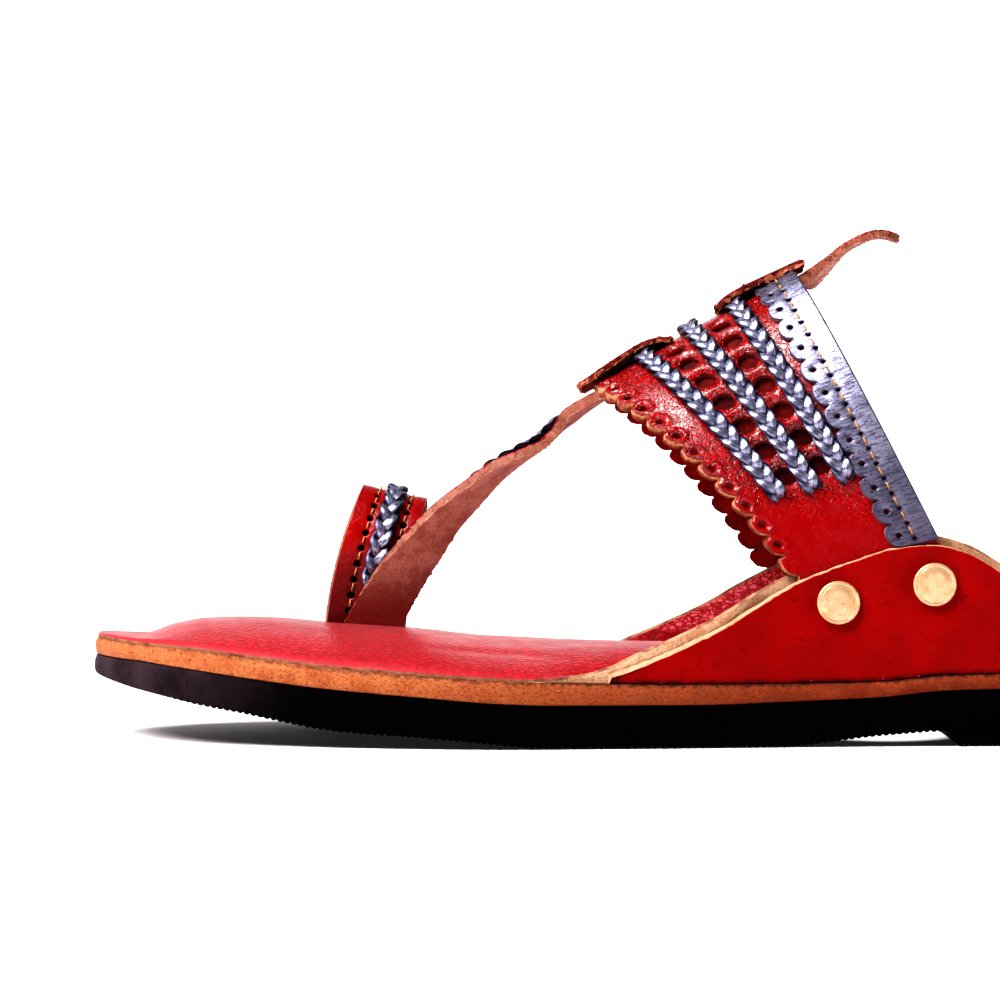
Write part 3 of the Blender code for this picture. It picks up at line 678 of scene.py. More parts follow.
def leather(name, loops, skin, low, high, spacing, materials,
            stretch=np.ones_like, relief=None, skive=0.0, ragged=0.0):
    """A sheet with a grain side, a flesh side and a cut edge, its holes cut, laid on a surface of the shoe.

    It lies between two heights over the surface. stretch(u) is the true width over the pattern's width,
    relief(u, v) is added to the grain side's height, skive is how far the grain side's outer edge stands
    back, as a number or by place, and ragged roughens that edge. The materials are those of the grain side,
    the flesh side, the outer edge and the holes.
    """
    def widen(loop):
        u, v = np.array(loop, float).T
        return np.column_stack([u, v * stretch(u)])

    def unwiden(points):
        u, w = points.T
        return u, w / stretch(u)

    flat, faces, inset, away, owner = flat_mesh([widen(loop) for loop in loops], spacing)
    outer = owner == 0
    corner = EDGE_RINGS[-2]
    fall = corner - np.sqrt(np.maximum(corner**2 - (corner - np.minimum(inset, corner)) ** 2, 0.0))
    bottom_u, bottom_v = unwiden(flat)
    bottom = skin(bottom_u, bottom_v, low + FLESH_ROUND * fall)
    pared = skive(bottom_u, bottom_v) if callable(skive) else np.full(len(flat), skive)
    back = pared * np.maximum(0.0, 1 - inset / np.maximum(SKIVE_RUN * pared, 0.01)) * outer
    top_u, top_v = unwiden(flat + away * back[:, None])
    height = high - fall
    if relief is not None:
        height = height + relief(top_u, top_v)
    top = skin(top_u, top_v, height)
    if ragged:
        loose = np.flatnonzero((inset < EDGE_RINGS[1]) & outer)
        for points in (top, bottom):
            for axis in range(3):
                frayed = rough(points[loose], 0.9, 7.0 * axis) + 0.7 * rough(points[loose], 2.6, 5.0 * axis)
                points[loose, axis] += ragged * frayed
    count = len(flat)
    rim = open_edges(faces)
    every = [tuple(reversed(f)) for f in faces]
    every += [tuple(i + count for i in f) for f in faces]
    every += [(a, b, b + count, a + count) for a, b in rim]
    indices = [0] * len(faces) + [1] * len(faces) + [2 if outer[a] else 3 for a, _ in rim]
    place = np.column_stack([*flat.T, np.zeros(count)])
    deep = np.column_stack([*flat.T, np.full(count, high - low)])
    attributes = {"place": np.vstack([place, deep]), "rim": np.concatenate([inset, inset])}
    return add_piece(name, np.vstack([top, bottom]), every, materials, indices, attributes)


def ring_faces(rows, count):
    """Faces between rings of points, and one across each end."""
    faces = []
    for i in range(0, (rows - 1) * count, count):
        for k in range(count):
            n = (k + 1) % count
            faces.append((i + k, i + n, i + count + n, i + count + k))
    return [*faces, tuple(range(count)), tuple(range((rows - 1) * count, rows * count))]


def across_path(path, normal):
    """Unit vectors beside a path and up from it."""
    tangent = unit(np.gradient(path, axis=0))
    side = unit(np.cross(normal, tangent))
    return side, np.cross(tangent, side)


def tube(path, side, up, half_width, half_wall, sides):
    """Points and faces of an oval tube along a path."""
    turns = np.linspace(0, 2 * math.pi, sides, endpoint=False)[:, None]
    oval = side[:, None] * (np.cos(turns) * half_width) + up[:, None] * (np.sin(turns) * half_wall)
    return (path[:, None] + oval).reshape(-1, 3), ring_faces(len(path), sides)


def joined(parts):
    """One list of points and one of faces from several."""
    points, faces, first = [], [], 0
    for some_points, some_faces in parts:
        points.append(some_points)
        faces += [tuple(i + first for i in face) for face in some_faces]
        first += len(some_points)
    return np.vstack(points), faces


# Materials

FLAP_HIGHLIGHT = (0.85, 0.2, 0.24)  # painted highlight: pale pink for light falling on the turned-up flap
REARWARD = (-40.0, -5.0)  # along the shoe, where a cut edge takes its rear colour
SHADE_NEAR_BED = (40.0, 25.5)  # heights where a flesh side darkens with painted shade at the foot, near the bed


class Nodes:
    """Short ways to add nodes to a tree."""

    def __init__(self, tree):
        self.tree = tree

    def add(self, kind, sockets, output=0, **settings):
        node = self.tree.nodes.new("ShaderNode" + kind)
        for key, value in settings.items():
            setattr(node, key, value)
        for key, value in sockets.items():
            if isinstance(value, bpy.types.NodeSocket):
                self.tree.links.new(value, node.inputs[key])
            else:
                node.inputs[key].default_value = value
        return node.outputs[output]

    def maths(self, operation, a, b):
        return self.add("Math", {0: a, 1: b}, operation=operation)

    def vectors(self, operation, a, b):
        return self.add("VectorMath", {0: a, 1: b}, operation=operation)

    def size(self, vector):
        return self.add("VectorMath", {0: vector}, output="Value", operation="LENGTH")

    def axis(self, vector, name):
        return self.add("SeparateXYZ", {0: vector}, output=name)

    def ramp(self, factor, low, high, start=0.0, end=1.0, curve="SMOOTHSTEP"):
        """Values from start to end as the factor goes from low to high."""
        sockets = {0: factor, 1: low, 2: high, 3: start, 4: end}
        return self.add("MapRange", sockets, interpolation_type=curve)


class Finish(Nodes):
    """A procedural material."""

    def __init__(self, name, **constants):
        self.material = bpy.data.materials.new(name)
        self.material.use_nodes = True
        super().__init__(self.material.node_tree)
        self.shader = self.tree.nodes["Principled BSDF"]
        for key, value in constants.items():
            self.shader.inputs[key.replace("_", " ")].default_value = value

    def place(self, scale=(1.0, 1.0, 1.0)):
        """Place on the shoe in millimetres, scaled."""
        place = self.add("TexCoord", {}, output="Object")
        return self.vectors("MULTIPLY", place, tuple(s / MM for s in scale))

    def pattern(self, scale=(1.0, 1.0, 1.0)):
        """Place on the piece's flat pattern in millimetres, scaled."""
        place = self.add("Attribute", {}, output="Vector", attribute_name="place")
        return self.vectors("MULTIPLY", place, scale)

    def rim(self):
        """Distance from the cut edge in millimetres, or the share that a loft keeps."""
        return self.add("Attribute", {}, output="Fac", attribute_name="rim")

    def noise(self, place, scale=1.0, detail=4.0, roughness=0.55, output=0):
        sockets = {"Vector": place, "Scale": scale, "Detail": detail, "Roughness": roughness}
        return self.add("TexNoise", sockets, output=output)

    def warp(self, place, scale, amount):
        shift = self.noise(place, scale, detail=2.0, output=1)
        centred = self.vectors("SUBTRACT", shift, (0.5, 0.5, 0.5))
        return self.vectors("ADD", place, self.vectors("MULTIPLY", centred, (amount,) * 3))

    def cells(self, place, scale):
        """Distance from the lines between cells."""
        return self.add("TexVoronoi", {"Vector": place, "Scale": scale}, feature="DISTANCE_TO_EDGE")

    def mix(self, factor, a, b):
        return self.add("Mix", {0: factor, 6: rgb(a), 7: rgb(b)}, output=2, data_type="RGBA")

    def bump(self, height, distance, under=None):
        sockets = {"Height": height, "Distance": distance * MM, "Strength": 1.0}
        if under is not None:
            sockets["Normal"] = under
        return self.add("Bump", sockets)

    def finish(self, colour, roughness=None, normal=None, **others):
        """Links what varies over the surface to the shader."""
        sockets = {"Base_Color": colour, "Roughness": roughness, "Normal": normal, **others}
        for key, socket in sockets.items():
            if socket is not None:
                self.tree.links.new(socket, self.shader.inputs[key.replace("_", " ")])
        return self.material


def rgb(value):
    return (*value, 1.0) if isinstance(value, tuple) and len(value) == 3 else value


def darker(colour, share):
    return tuple(c * share for c in colour)


def red_leather(name, bright, deep, cell, depth, crease, gloss, specular, foot=None, worn=None, shade=None):
    """Glossy red grain: crackled cells, fine pores, cloudy colour and darker creases.

    Foot is the height where dirt and painted shade start to gather along the low edge, and the one where they
    are thickest. Worn is the height below which the grain is smooth, and the one above which it is crackled.
    Shade is the height where the painted shade is darkest, and the one above which there is none.
    """
    f = Finish(name, Specular_IOR_Level=specular)
    at = f.place()
    height = f.axis(at, "Z")
    fine = f.ramp(f.cells(f.warp(at, 0.8, 1.0), 1 / cell), 0.02, 0.13)
    broad = f.ramp(f.cells(f.warp(at, 0.3, 2.0), 0.42 / cell), 0.0, 0.07)
    cracks = f.maths("MULTIPLY", fine, broad)
    cloud = f.noise(at, 0.09, detail=5.0, roughness=0.6)
    colour = f.mix(f.ramp(cloud, 0.38, 0.62), deep, bright)
    dark = darker(deep, 0.25)
    shiny = None
    if worn:
        cracks = f.maths("MAXIMUM", cracks, f.ramp(height, *worn, 0.85, 0.0))
        colour = f.mix(f.ramp(height, *worn), darker(deep, 0.88), colour)
        shiny = f.ramp(height, *worn, 0.3 * specular, specular)
    # painted shade: darker low down, towards the bed
    if shade:
        colour = f.mix(f.ramp(height, *shade), darker(deep, 0.4), colour)
    colour = f.mix(f.ramp(cracks, 0.0, 1.0, crease, 0.0), colour, dark)
    colour = f.mix(f.ramp(f.noise(at, 0.6, detail=3.0), 0.62, 0.72, 0.0, 0.4), colour, dark)
    if foot:
        # dirt and painted shade along the low edge, with pale crumbs
        grime_and_shade = f.maths("MULTIPLY", f.ramp(height, *foot), f.ramp(f.rim(), 1.4, 0.2))
        smudge = f.maths("MULTIPLY", grime_and_shade, f.ramp(f.noise(at, 0.2), 0.35, 0.6, 0.3, 0.8))
        colour = f.mix(smudge, colour, (0.012, 0.003, 0.003))
        crumbs = f.maths("MULTIPLY", grime_and_shade, f.ramp(f.noise(at, 0.7, detail=2.0), 0.68, 0.72, 0.0, 0.7))
        colour = f.mix(crumbs, colour, (0.6, 0.3, 0.26))
    shine = f.ramp(f.noise(at, 0.3), 0.35, 0.65, gloss - 0.06, gloss + 0.1)
    swell = f.bump(f.noise(at, 0.22, detail=2.0), 0.14)
    pebble = f.bump(cracks, depth, swell)
    pores = f.noise(at, 2.6, detail=5.0, roughness=0.65)
    return f.finish(colour, shine, f.bump(pores, 0.03, pebble), Specular_IOR_Level=shiny)


def insole_leather():
    """Soft red leather over the pad, with fine wavy rows of grain; crackled where it turns up, with a painted
    highlight of pale pink cells.
    """
    f = Finish("insole_leather", Specular_IOR_Level=0.65, Sheen_Weight=0.3, Sheen_Roughness=0.3)
    at = f.place()
    rows = f.ramp(f.cells(f.warp(f.place((0.75, 1.0, 1.0)), 0.25, 2.6), 0.72), 0.0, 0.34)
    scales = f.ramp(f.cells(f.warp(f.place((0.6, 0.6, 1.0)), 0.5, 0.9), 1.1), 0.03, 0.2)
    colour = f.mix(f.ramp(f.noise(at, 0.05), 0.35, 0.65), (0.4, 0.003, 0.018), (0.48, 0.005, 0.024))
    colour = f.mix(f.ramp(rows, 0.0, 1.0, 0.7, 0.0), colour, (0.22, 0.001, 0.005))
    # painted highlight: pale pink cells on the turned-up flap, standing in for light
    lit_cells = f.maths("MULTIPLY", scales, f.ramp(f.noise(at, 0.5), 0.35, 0.55))
    worn = f.mix(lit_cells, (0.42, 0.003, 0.012), FLAP_HIGHLIGHT)
    turned = f.maths("MULTIPLY", f.ramp(f.axis(at, "Z"), 20.5, 23.0), f.ramp(f.axis(at, "X"), -32.0, -20.0))
    colour = f.mix(turned, colour, worn)
    specks = f.ramp(f.noise(at, 0.9, detail=2.0), 0.74, 0.8, 0.0, 0.8)
    colour = f.mix(specks, colour, (0.12, 0.004, 0.008))
    shine = f.ramp(f.noise(at, 0.2), 0.3, 0.7, 0.28, 0.38)
    shine = f.maths("ADD", shine, f.ramp(f.rim(), 0.92, 0.97, 0.0, 0.35))
    return f.finish(colour, shine, f.bump(f.noise(at, 2.2), 0.02, f.bump(rows, 0.065)))


def cut_edge(name, pale, brown, amount=0.5, rear=None, layers=None):
    """Raw cut edge of leather: pale fibres with brown streaks.

    Rear is the pale colour towards the heel, and layers are the depths between which pale turns brown.
    """
    f = Finish(name, Specular_IOR_Level=0.2)
    at = f.place()
    if rear:
        pale = f.mix(f.ramp(f.axis(at, "X"), *REARWARD), pale, rear)
    fibres = f.noise(f.pattern((2.4, 2.4, 0.5)) if layers else at, 1.7, detail=6.0, roughness=0.7)
    patches = f.noise(at, 0.28, detail=4.0, roughness=0.6)
    colour = f.mix(f.ramp(patches, 0.42, 0.68, 0.0, amount), pale, brown)
    if layers:
        wander = f.ramp(f.noise(at, 0.9), 0.3, 0.7, -0.5, 0.5)
        depth = f.maths("ADD", f.axis(f.pattern(), "Z"), wander)
        colour = f.mix(f.ramp(depth, *layers, 0.0, 0.85), colour, brown)
    colour = f.mix(f.ramp(fibres, 0.52, 0.75, 0.0, 0.75), colour, darker(brown, 0.45))
    return f.finish(colour, f.ramp(fibres, 0.3, 0.7, 0.75, 0.95), f.bump(fibres, 0.3))


def flesh_side(name, light, dark, foot=None):
    """Napped flesh side; foot is the dark colour of painted shade close to the bed."""
    f = Finish(name, Specular_IOR_Level=0.15, Sheen_Weight=0.2, Sheen_Roughness=0.5)
    at = f.place()
    nap = f.noise(at, 2.0, detail=6.0, roughness=0.75)
    patches = f.noise(at, 0.22, detail=5.0, roughness=0.65)
    colour = f.mix(f.ramp(patches, 0.4, 0.6), dark, light)
    colour = f.mix(f.ramp(nap, 0.48, 0.66, 0.0, 0.7), colour, darker(dark, 0.4))
    if foot:
        # painted shade near the bed
        colour = f.mix(f.ramp(f.axis(at, "Z"), *SHADE_NEAR_BED, 0.0, 0.95), colour, foot)
    return f.finish(colour, f.ramp(nap, 0.3, 0.7, 0.8, 1.0), f.bump(nap, 0.4))


def silver_leather():
    """Foiled leather with fine wrinkles across the strip, darker lower down with painted shade."""
    f = Finish("silver_leather", Metallic=0.8)
    wrinkles = f.noise(f.pattern((1.7, 0.3, 1.0)), 1.0, detail=6.0, roughness=0.72)
    grain = f.noise(f.pattern(), 2.0, detail=5.0, roughness=0.7)
    cloud = f.noise(f.pattern(), 0.12, detail=3.0)
    colour = f.mix(f.ramp(cloud, 0.38, 0.62), (0.26, 0.25, 0.34), (0.36, 0.35, 0.45))
    colour = f.mix(f.ramp(wrinkles, 0.46, 0.6, 0.0, 0.75), colour, (0.06, 0.058, 0.11))
    # painted shade: darker lower down the strip
    colour = f.mix(f.ramp(f.axis(f.place(), "Z"), 66.0, 48.0, 0.0, 0.55), colour, (0.1, 0.085, 0.13))
    colour = f.mix(f.ramp(f.rim(), 0.5, 0.15, 0.0, 0.7), colour, (0.05, 0.035, 0.07))
    shine = f.ramp(grain, 0.35, 0.65, 0.26, 0.4)
    return f.finish(colour, shine, f.bump(grain, 0.025, f.bump(wrinkles, 0.12)))


def silver_strand():
    """Foiled strands with streaks along them, with painted shade at their edges and where one goes under
    another.
    """
    f = Finish("silver_strand", Metallic=0.75, Coat_Weight=0.15, Coat_Roughness=0.2)
    streaks = f.noise(f.pattern((0.6, 2.6, 0.0)), 1.0, detail=5.0, roughness=0.65)
    patches = f.noise(f.pattern((0.4, 0.4, 0.0)), 1.0, detail=3.0)
    place = f.pattern()
    across = f.maths("ABSOLUTE", f.axis(place, "Y"), 0.0)
    # painted shade along the strands' edges and where one goes under another
    edges = f.ramp(across, 0.3 * STRAND_WIDTH, 0.47 * STRAND_WIDTH, 0.0, 0.85)
    under = f.ramp(f.axis(place, "Z"), 0.45, -0.35, 0.0, 0.95)
    colour = f.mix(f.ramp(streaks, 0.38, 0.62), (0.14, 0.14, 0.21), (0.42, 0.41, 0.53))
    colour = f.mix(f.ramp(patches, 0.5, 0.66, 0.0, 0.7), colour, (0.09, 0.09, 0.17))
    colour = f.mix(under, colour, (0.012, 0.012, 0.03))
    colour = f.mix(edges, colour, (0.02, 0.02, 0.05))
    return f.finish(colour, f.ramp(patches, 0.35, 0.65, 0.24, 0.42), f.bump(streaks, 0.09))


def midsole_leather():
    """Bare edge of thick tan leather, speckled, dark along its top with dirt and painted shade, and browner
    towards the heel.
    """
    f = Finish("midsole_leather", Specular_IOR_Level=0.25)
    at = f.place()
    along = f.axis(at, "X")
    tan = f.mix(f.ramp(along, -95.0, 50.0), (0.4, 0.15, 0.06), (0.19, 0.03, 0.007))
    fibres = f.noise(f.place((1.0, 1.0, 1.6)), 1.5, detail=6.0, roughness=0.75)
    patches = f.noise(at, 0.16, detail=5.0, roughness=0.6)
    colour = f.mix(f.ramp(patches, 0.44, 0.62, 0.0, 0.5), tan, (0.3, 0.075, 0.022))
    colour = f.mix(f.ramp(fibres, 0.5, 0.64, 0.0, 0.85), colour, (0.15, 0.032, 0.01))
    flecks = f.maths("MULTIPLY", f.ramp(fibres, 0.46, 0.34, 0.0, 0.5), f.ramp(along, 20.0, -80.0, 0.25, 1.0))
    colour = f.mix(flecks, colour, (0.54, 0.24, 0.085))
    border = f.maths("ADD", f.rim(), f.ramp(f.noise(at, 0.8, detail=6.0), 0.3, 0.7, -0.1, 0.1))
    # dirt and painted shade along the top, where the upper layers sit on it
    grime_and_shade = f.maths("MULTIPLY", f.ramp(border, 0.78, 1.05), f.ramp(along, -120.0, 20.0, 0.5, 0.95))
    colour = f.mix(grime_and_shade, colour, (0.04, 0.01, 0.005))
    return f.finish(colour, f.ramp(fibres, 0.3, 0.7, 0.5, 0.75), f.bump(fibres, 0.25))


def black_rubber():
    """Moulded rubber, greyer and speckled at the toe."""
    f = Finish("black_rubber", Specular_IOR_Level=0.03)
    at = f.place()
    toe = f.ramp(f.axis(at, "X"), -75.0, -125.0)
    grey_toe = f.maths("MULTIPLY", toe, f.ramp(f.noise(at, 0.12, detail=5.0), 0.3, 0.65, 0.45, 1.0))
    colour = f.mix(grey_toe, (0.0012, 0.0008, 0.0012), (0.06, 0.04, 0.048))
    specks = f.ramp(f.noise(at, 1.4, detail=4.0, roughness=0.75), 0.6, 0.74)
    specks = f.maths("MULTIPLY", specks, f.ramp(toe, 0.0, 1.0, 0.04, 0.6))
    colour = f.mix(specks, colour, (0.14, 0.1, 0.13))
    grit = f.noise(at, 1.3, detail=5.0, roughness=0.7)
    return f.finish(colour, f.ramp(grit, 0.3, 0.7, 0.5, 0.72), f.bump(grit, 0.25))


def brass():
    """Pale gilt caps with stains."""
    f = Finish("brass", Metallic=0.45)
    at = f.place()
    stains = f.noise(at, 0.4, detail=5.0, roughness=0.6)
    colour = f.mix(f.ramp(stains, 0.42, 0.66), (0.68, 0.46, 0.29), (0.55, 0.35, 0.19))
    spots = f.ramp(f.noise(at, 1.2, detail=2.0), 0.66, 0.72, 0.0, 0.7)
    colour = f.mix(spots, colour, (0.3, 0.17, 0.06))
    return f.finish(colour, f.ramp(stains, 0.35, 0.7, 0.24, 0.42), f.bump(stains, 0.03))


def thread():
    """Waxed golden thread with its twist."""
    f = Finish("golden_thread", Sheen_Weight=0.2)
    strands = f.noise(f.place(), 2.6, detail=3.0)
    colour = f.mix(f.ramp(strands, 0.35, 0.65), (0.24, 0.1, 0.028), (0.5, 0.27, 0.09))
    return f.finish(colour, f.ramp(strands, 0.3, 0.7, 0.4, 0.6), f.bump(strands, 0.1))


RED_BAND = red_leather(
    "band_leather", (0.4, 0.0015, 0.005), (0.31, 0.001, 0.004),
    cell=1.15, depth=0.15, crease=0.75, gloss=0.24, specular=0.95, worn=(46.0, 58.0),
)
RED_EAR = red_leather(
    "ear_leather", (0.28, 0.0008, 0.0015), (0.24, 0.0008, 0.0015),
    cell=2.2, depth=0.02, crease=0.03, gloss=0.5, specular=0.1, foot=(18.5, 15.0),
)
RED_STRAP = red_leather(
    "strap_leather", (0.32, 0.001, 0.003), (0.21, 0.001, 0.002),
    cell=1.6, depth=0.03, crease=0.1, gloss=0.28, specular=0.35, shade=(20.0, 46.0),
)
KEEPER_TOP = red_leather(
    "keeper_leather", (0.34, 0.03, 0.018), (0.2, 0.012, 0.008),
    cell=1.0, depth=0.3, crease=0.6, gloss=0.5, specular=0.2,
)
RED_LINING = flesh_side("red_lining", (0.42, 0.003, 0.005), (0.26, 0.0015, 0.002))
RED_HOLE = flesh_side("red_hole", (0.5, 0.003, 0.006), (0.28, 0.0015, 0.002))
# dark red lining seen through the holes, partly its own colour and partly painted shade
LINING_WITH_SHADE = flesh_side("hole_lining_with_shade", (0.17, 0.003, 0.003), (0.08, 0.001, 0.001))
# painted shade: near black walls inside small holes
HOLE_WALL_SHADE = flesh_side("hole_wall_shade", (0.05, 0.01, 0.01), (0.02, 0.004, 0.004))
INSOLE_RED = insole_leather()
EDGE_PALE = cut_edge("pale_cut_edge", (0.6, 0.35, 0.23), (0.42, 0.18, 0.09))
EDGE_BAND = cut_edge("band_cut_edge", (0.66, 0.36, 0.22), (0.2, 0.045, 0.022), 0.9, layers=(0.9, 1.5))
EDGE_STRAP = cut_edge("strap_cut_edge", (0.3, 0.145, 0.11), (0.2, 0.07, 0.05), 0.7, rear=(0.3, 0.12, 0.08))
EDGE_BROWN = cut_edge("brown_cut_edge", (0.46, 0.18, 0.11), (0.15, 0.025, 0.015), 0.9)
EDGE_GREY = cut_edge("bed_cut_edge", (0.27, 0.13, 0.085), (0.13, 0.05, 0.03), 0.8, rear=(0.5, 0.28, 0.18))
EDGE_SILVER = cut_edge("strip_cut_edge", (0.2, 0.15, 0.2), (0.1, 0.05, 0.08), 0.6)
FLESH = flesh_side("brown_flesh", (0.52, 0.2, 0.14), (0.28, 0.065, 0.042))
# its foot colour is painted shade near the bed
STRAP_FLESH = flesh_side("strap_flesh", (0.66, 0.36, 0.28), (0.5, 0.21, 0.155), foot=(0.17, 0.006, 0.004))
PALE_FLESH = flesh_side("pale_flesh", (0.74, 0.48, 0.32), (0.56, 0.31, 0.19))
SILVER = silver_leather()
STRAND = silver_strand()
TAN = midsole_leather()
RUBBER = black_rubber()
BRASS = brass()
THREAD = thread()


# Sole

def loft(name, rings, materials, indices=None, sharp=40.0, shares=None):
    """A closed body through rings of points, with a material index for each place round the ring.

    Shares are values for the places round the ring, kept for the material.
    """
    rings = np.array(rings)
    rows, count, _ = rings.shape
    finish = [*indices] * (rows - 1) + [indices[0]] * 2 if indices else None
    attributes = {"rim": np.tile(shares, rows)} if shares else None
    faces = ring_faces(rows, count)
    return add_piece(name, rings.reshape(-1, 3), faces, materials, finish, attributes, sharp)


def stations(inset, count):
    """Places along the shoe, closer together at its round ends."""
    return (inset - LENGTH / 2) * np.cos(np.linspace(0, math.pi, count))


def rib(x):
    """Fine grooves across the tread, none at the toe tip."""
    groove = max(0.0, math.cos(2 * math.pi * x / RIB_PITCH)) ** 0.7
    worn = 0.75 + 0.5 * noise.noise(Vector((x * 0.31, 5.0, 0.0)))
    return RIB_DEPTH * groove * worn * blend(RIB_START, RIB_FULL, x)


def inward_at(side, x):
    """Direction from the outline into the sole: along the shoe and towards its middle."""
    reach = 0.2
    low, high = max(x - reach, -LENGTH / 2), min(x + reach, LENGTH / 2)
    slope = (edge(side, high) - edge(side, low)) / (high - low)
    size = math.hypot(slope, 1.0)
    return slope / size, 1 / size


def side_rows(x, low, high, rows):
    """Points of one section: across the top, down the medial side, back underneath and up the lateral side.

    Each row of a side is a share of the height and how far it stands in from the outline.
    """
    room = 0.45 * max(edge(-1, x) + edge(1, x), 0.0)
    found = {}
    for side, word in SIDES:
        ahead, inside = inward_at(side, x)
        points = []
        for share, inset in rows:
            y = side * (edge(side, x) - min(inset * inside, room))
            points.append((x + inset * ahead, y, low + (high - low) * share))
        found[word] = np.array(points)
    lateral, medial = found["lateral"], found["medial"]
    top = [lateral[0] * (1 - t) + medial[0] * t for t in ACROSS]
    under = [medial[-1] * (1 - t) + lateral[-1] * t for t in ACROSS]
    return np.array([*top, *medial, *under, *lateral[::-1]])


def row_shares(rows):
    """Share of the height at each point of a section made by side_rows."""
    side = [share for share, _ in rows]
    return [*np.ones(len(ACROSS)), *side, *np.zeros(len(ACROSS)), *reversed(side)]


# Sides of the sole's layers: share of the height, how far it stands in from the outline
OUTSOLE_ROWS = (
    (1.0, 0.25),
    (0.96, -0.1),
    (0.7, -0.5),
    (0.4, -0.6),
    (0.22, -0.55),
    (0.1, -0.4),
    (0.03, -0.1),
    (0.0, 0.4),
)
LIFT_ROWS = ((1.0, 0.2), (0.85, 0.0), (0.3, 0.0), (0.12, 0.1), (0.0, 0.5))
MIDSOLE_ROWS = (
    (1.0, 0.3),
    (0.93, 0.0),
    (0.75, -0.4),
    (0.5, -0.5),
    (0.25, -0.4),
    (0.06, -0.2),
    (0.0, 0.2),
)


def uneven(ring, scale, amount):
    """A hand-cut side: each point wanders in and out a little."""
    ring[:, 1] += np.copysign(amount * rough(ring, scale), ring[:, 1])
    return ring


def outsole():
    rings = []
    for x in stations(SOLE_END, SOLE_STATIONS):
        low = LEVEL["tread"](x) + rib(x) - FRONT_DROP * (1 - blend(*FRONT_DROPPED, x))
        ring = side_rows(x, low, LEVEL["outsole_top"](x) - LAYER_GAP, OUTSOLE_ROWS)
        rings.append(uneven(ring, 0.25, 0.12))
    dress(loft("outsole_rubber", rings, [RUBBER]), "rubber", "outsole")


def heel_lift():
    rings = []
    reach = LENGTH / 2 - SOLE_END - HEEL_BREAST
    for x in HEEL_BREAST + reach * np.sin(np.linspace(0, math.pi / 2, LIFT_STATIONS)):
        top = LEVEL["tread"](x) - LAYER_GAP
        ring = side_rows(x, rib(x), top, LIFT_ROWS)
        front = HEEL_SLANT * max(0.0, 1 - (x - HEEL_BREAST) / HEEL_SLANT_RUN)
        ring[:, 0] += front * (1 - ring[:, 2] / top)
        rings.append(ring)
    dress(loft("heel_lift_rubber", rings, [RUBBER]), "rubber", "heel_lift")


def midsole():
    rings = []
    for x in stations(MIDSOLE_END, MIDSOLE_STATIONS):
        ring = side_rows(x, LEVEL["outsole_top"](x) - LAYER_GAP, LEVEL["midsole_top"](x), MIDSOLE_ROWS)
        rings.append(uneven(ring, 0.22, 0.22))
    body = loft("midsole_leather", rings, [TAN], shares=row_shares(MIDSOLE_ROWS))
    dress(body, "midsole_leather", "midsole")


FLAP_TOP = smooth(*np.array([*FLAP_START, *((x, z) for x, _, z in EAR_EDGE), *FLAP_END]).T)

# Soft dents and rolls in the padded bed: x, y, length along the shoe, width, depth
BED_DENTS = (
    (-68.0, 9.5, 14.0, 4.0, -0.9),
    (-68.0, 34.5, 14.0, 4.0, -0.9),
    (-40.0, -28.0, 16.0, 3.0, -0.35),
    (-20.0, -8.0, 10.0, 12.0, -0.4),
    (-92.0, -10.0, 16.0, 10.0, 0.3),
    (70.0, 0.0, 26.0, 18.0, -0.7),
)
BED_STATIONS = 340
BED_END = 0.4
BED_GAP = 0.04
BED_SHARES = np.linspace(0, 1, 44) ** 0.85  # places across each half of the bed, from its middle to its edge
FLAP_LIP = 0.4  # how far the turned-up cut edge bulges, as a share of the leather's thickness
TOE_SKIVE = 0.8  # the bed is pared thin on the medial side of the toe
TOE_SKIVED = (-116.0, -104.0)
BED_THIN = 0.08  # what is left where it is pared most
EDGE_ROLL = 0.6  # the grain rolls over the bed's edge
EDGE_ROLL_RUN = 2.0
FLESH_STEPS = 6
UNDER_SHARES = (0.75, 0.5, 0.25)  # places under each half, from its edge to the middle


def half_section(side, x):
    """One side of the bed from its middle line out: grain face, flesh corner and how far the edge turns up.

    Distances are from the middle of the sole at x.
    """
    rim = LEVEL["midsole_top"](x) + INSOLE_EDGE
    half = (edge(-1, x) + edge(1, x)) / 2
    turned = 0.0
    if FLAP_START[0][0] < x < FLAP_END[-1][0]:
        turned = max(FLAP_TOP(x) - rim, 0.0)
    if side > 0:
        rim -= TOE_SKIVE * (1 - blend(*TOE_SKIVED, x))
    upright = blend(0.0, FLAP_FOLD, turned)
    outer = max(half - insole_inset(x), 0.05)
    end = outer + (half - flap_inset(x) - FLAP_WALL - outer) * upright
    angle = math.acos(1 - min(turned, FLAP_FOLD) / FLAP_FOLD)
    fold_y = end - FLAP_FOLD * math.sin(angle)
    crest = max(LEVEL["crest"](x) - rim, 0.0)
    points = [(fold_y * t, rim + crest * (1 - t**PAD_ROUND)) for t in np.linspace(0, 1, 60)]
    for a in np.linspace(0, angle, 12)[1:]:
        points.append((fold_y + FLAP_FOLD * math.sin(a), rim + FLAP_FOLD * (1 - math.cos(a))))
    if turned > FLAP_FOLD:
        points.append((end, rim + turned))
    run = lengths(points)
    grain = np.column_stack([np.interp(BED_SHARES * run[-1], run, [p[k] for p in points]) for k in range(2)])
    thick = rim - LEVEL["midsole_top"](x)
    rolled = EDGE_ROLL * (1 - upright) * np.clip(1 - (end - grain[:, 0]) / EDGE_ROLL_RUN, 0.0, 1.0) ** 2
    rolled = np.minimum(rolled, 0.7 * thick)
    grain[:, 1] -= rolled
    wall = thick + (FLAP_WALL - INSOLE_EDGE) * upright - rolled[-1]
    corner = grain[-1] + wall * np.array((math.sin(angle), -math.cos(angle)))
    return grain, corner, upright


def bed_relief(x, y):
    total = 0.12 * noise.noise(Vector((x * 0.09, y * 0.09, 3.0)))
    for cx, cy, length, width, depth in BED_DENTS:
        total += depth * bell((x - cx) / length, 1.0) * bell((y - cy) / width, 1.0)
    return total


